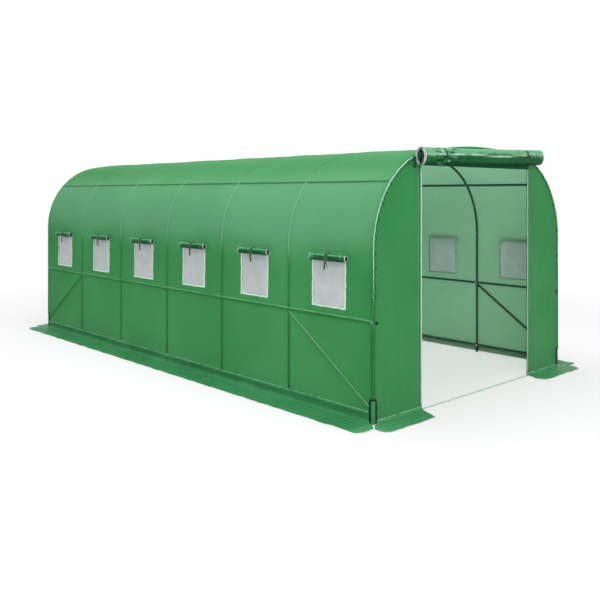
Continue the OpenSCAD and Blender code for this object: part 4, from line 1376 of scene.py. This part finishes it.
def bow(side, knot, seed):
    """The bow of a flap's tie: two loose ends that hang from the knot and two small loops"""
    parts = []
    for turn, lean in ((-1, -0.012), (1, 0.015)):
        fall = np.linspace(0, 1, 16)
        sway = lean * fall + 0.004 * np.sin(5 * fall + seed + turn)
        line = at(knot[X] - side * (0.012 * fall ** 0.5 - 0.004 * np.sin(4 * fall)),
                  knot[Y] + turn * 0.003 + sway, knot[Z] - 0.088 * fall - 0.006 * turn * fall)
        tilt, travel = 0.7 * turn * fall, heading(line)
        wide = at(side * np.sin(tilt), np.cos(tilt), 0 * tilt)
        wide = unit(wide - travel * np.sum(travel * wide, -1, keepdims=True))
        parts.append(sweep(line, wide, np.cross(travel, wide), tape(0.015, 0.0014),
                           rubbed_edge=0.15 * TIE_EDGES))
    turn = np.linspace(0, 2 * np.pi, 22)
    for lean in (0.8, -0.7):
        ring = knot + at(side * 0.004 * np.sin(turn), lean * 0.012 * (1 - np.cos(turn)),
                         0.006 * np.sin(turn))
        outward = unit(np.cross(heading(ring), (side, 0, 0)))
        parts.append(sweep(ring, (side, 0, 0), outward, tape(0.007, 0.0014), rubbed_edge=TIE_EDGES))
    return parts


def window_flap(side, label, number, centre):
    """The flap of one window, rolled up over it and tied. Gives back where its toggle goes."""
    seed = 100 + 10 * number + side
    low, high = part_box(f"window_flaps_{label}")
    out, height = abs(low.x + high.x) / 2 - NEARER_WALL, (low.z + high.z) / 2
    half, radius = HEM + WINDOW_HALF + 0.014, (high.z - low.z) / 2 - 0.001
    middle_y = centre - NEARER_FRONT
    roll = Roll((side * out, middle_y, height), (0, 1, 0), (side, 0, 0), radius, 0.010, 0.43, half,
                [(TIE_PLACE, 0.12, 0.05, 0.030)], seed, lean=0.0, flared=0.03, flat=0.80)
    wall = side * (HALF_WIDTH - 0.0015)
    ends = [np.array([wall, middle_y + TIE_PLACE, height + rise]) for rise in (0.042, -0.030)]
    strap = roll.band(TIE_PLACE, 0.018, 0.0016, -2.2, 2.3, ends)
    knot = roll.skin(TIE_PLACE, 0.35, roll.radius, 0.005)
    tie = piece(f"window_tie_{label}_{number}", [strap, *bow(side, knot, seed)], WEBBING, "rolled_sheet",
                ["window_ties"])
    roll.sheet(f"window_flap_{label}_{number}", FLAP_ROLL, f"window_flaps_{label}", steps=26, stations=30,
               climb=0.040, taper=0.88, wall_gap=HALF_WIDTH - out + 0.0008, glow=0.12,
               rests_on=[f"cover_bay_{number}"], with_pieces=[tie])
    toggle = roll.skin(TIE_PLACE - 0.016, -0.75, roll.radius, 0.006)
    return toggle[None], (0, 1, 0), (0, 0, 1)


def windows(side, label):
    """The six windows of one side, each with its screen, hem and flap, and the toggles of the flaps"""
    toggles = []
    for number, centre in enumerate(WINDOWS, 1):
        window_screen(side, label, number, centre)
        toggles.append(window_flap(side, label, number, centre))
    repeated(f"window_toggles_{label}", toggles, stitch, (0.024, 0.013, 0.013), RUBBER, "dark_binding")


# ---- What fastens the frame ----

def frame_fittings():
    """Bolts where rails cross hoops, caps under the legs and the fastenings at the corners"""
    tubes = [f"hoop_{number}" for number in range(1, 8)]
    tubes += ["ridge_rail", "front_door_posts", "back_door_posts"]
    for name in ("upper_rail", "waist_rail", "base_rail", "corner_braces"):
        tubes += [f"{name}_left", f"{name}_right"]
    for name in tubes:
        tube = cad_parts[name]
        tube.data.materials.clear()
        tube.data.materials.append(TUBE)
    inner = HALF_WIDTH - TUBE_LINE + TUBE_RADIUS + 0.001

    def inside_hoops(along, depth):
        """Rows of places on the inner side of each hoop, facing in, by place along the arch"""
        across, height, out, up = arch(along)
        return [(np.array([[x - depth * sideways, hoop, z - depth * upward]]), (0, 1, 0),
                 (-sideways, 0, -upward))
                for hoop in HOOPS for x, z, sideways, upward in zip(across, height, out, up)]

    repeated("frame_bolts", inside_hoops(RAIL_RUNS, inner), bolt, (0.012, 0.012, 0.006), ZINC, "frame_tube")
    collars = np.array([side * run for run in (ARCH_RUN - EAVES, CROWN_RUN) for side in SIDE_NAMES])
    repeated("collar_screws", inside_hoops(collars, inner + 0.001), bolt, (0.007, 0.007, 0.003), ZINC,
             "frame_tube")
    legs = [(side * TUBE_LINE, hoop) for side in SIDE_NAMES for hoop in HOOPS]
    legs += [(side * POST_LINE, end * HOOPS[-1]) for side, end in CORNERS]
    feet = [(np.array([[x, y, 0.0182]]), (1, 0, 0), (0, 0, 1)) for x, y in legs]
    repeated("leg_caps", feet, foot_cap, (0.0138, 0.0138, 0.0138), RUBBER, "dark_binding")
    caps, eyelets = [], []
    for side, end in CORNERS:
        spot = end_wall(end, wall_run(side, WAIST_RAIL - 0.004), 1 - 0.046 / PANEL_WIDTH, 0.0012)
        caps.append((spot[None], (1, 0, 0), (0, end, 0)))
        dot = on_cover(wall_run(side, WAIST_RAIL + 0.002), end * (HALF_LENGTH - 0.020), 0.0012)
        eyelets.append((dot[None], (0, 1, 0), (side, 0, 0)))
    repeated("corner_cap_bolts", caps, bolt, (0.016, 0.016, 0.008), RUBBER, "dark_binding")
    repeated("corner_eyelets", eyelets, eyelet, (0.008, 0.008, 0.006), PALE_THREAD, "hem_tape")


for bay in range(6):
    cover_bay(bay)
for wall in (FRONT, BACK):
    end_sheet(wall)
    arch_seams(wall)
back_door()
hoop_seams()
corner_slots()
skirts()
zips()
threshold()
door_heading_shadows()
front_door_roll()
for wall, label in SIDE_NAMES.items():
    windows(wall, label)
frame_fittings()


# ---- Studio: a plain pale floor, soft light and the camera ----

def background_seen(bench):
    """1 where the camera, a reflection or clear sheet shows the floor or the sky"""
    path = bench.add("ShaderNodeLightPath")
    seen = path["Is Camera Ray"].maths("MAXIMUM", path["Is Glossy Ray"])
    return seen.maths("MAXIMUM", path["Is Transmission Ray"])


def floor():
    """A pale floor that keeps the tunnel's shadow and fades to the white background further out"""
    mesh = bpy.data.meshes.new("floor")
    mesh.from_pydata([(-60, -60, 0), (60, -60, 0), (60, 60, 0), (-60, 60, 0)], [], [(0, 1, 2, 3)])
    ground = bpy.data.objects.new("floor", mesh)
    bpy.context.scene.collection.objects.link(ground)
    paint = Finish("floor_white")
    away = (paint.x * paint.x + paint.y * paint.y).maths("SQRT").rise(4.0, 8.0)
    matt = paint.add("ShaderNodeBsdfDiffuse", {}, {"Color": (0.80, 0.80, 0.80, 1)})
    white = paint.add("ShaderNodeEmission", {}, {"Color": (1, 1, 1, 1), "Strength": 1.0})
    share = background_seen(paint) * (0.58 + 0.42 * away)
    mixed = paint.add("ShaderNodeMixShader", {}, {0: share, 1: matt, 2: white})
    paint.add("ShaderNodeOutputMaterial", {}, {"Surface": mixed})
    mesh.materials.append(paint.material)


def lamp(name, place, aim, size, power):
    """A round soft light"""
    data = bpy.data.lights.new(name, "AREA")
    data.shape, data.size, data.energy = "DISK", size, power
    made = bpy.data.objects.new(name, data)
    made.location = place
    made.rotation_euler = (Vector(aim) - Vector(place)).to_track_quat("-Z", "Y").to_euler()
    bpy.context.scene.collection.objects.link(made)


def studio():
    """The floor, a soft light overhead, a weaker one in front, and a white sky that lights less than it
    shows"""
    floor()
    lamp("overhead", (-1.5, -1.0, 11.0), (0, 0, 0), 9.0, 900)
    lamp("front_fill", (-7.0, -11.0, 6.0), (0, -1, 1.0), 6.0, 420)
    world = bpy.data.worlds.new("studio")
    bpy.context.scene.world = world
    world.use_nodes = True
    world.node_tree.nodes.clear()
    sky = Bench(world.node_tree)
    strength = 0.62 + background_seen(sky) * 0.38
    plain = sky.add("ShaderNodeBackground", {}, {"Color": (1, 1, 1, 1), "Strength": strength})
    sky.add("ShaderNodeOutputWorld", {}, {"Surface": plain})


def camera():
    """The view from the left in front, at the height of a person's eyes"""
    data = bpy.data.cameras.new("camera")
    data.sensor_width, data.lens, data.shift_y = 36.0, 44.6, -0.1774
    made = bpy.data.objects.new("camera", data)
    made.location = (-5.99, -6.95, 1.857)
    made.rotation_euler = (math.pi / 2, 0, -0.751)
    bpy.context.scene.collection.objects.link(made)
    bpy.context.scene.camera = made


studio()
camera()
bpy.context.scene.view_settings.view_transform = "Standard"
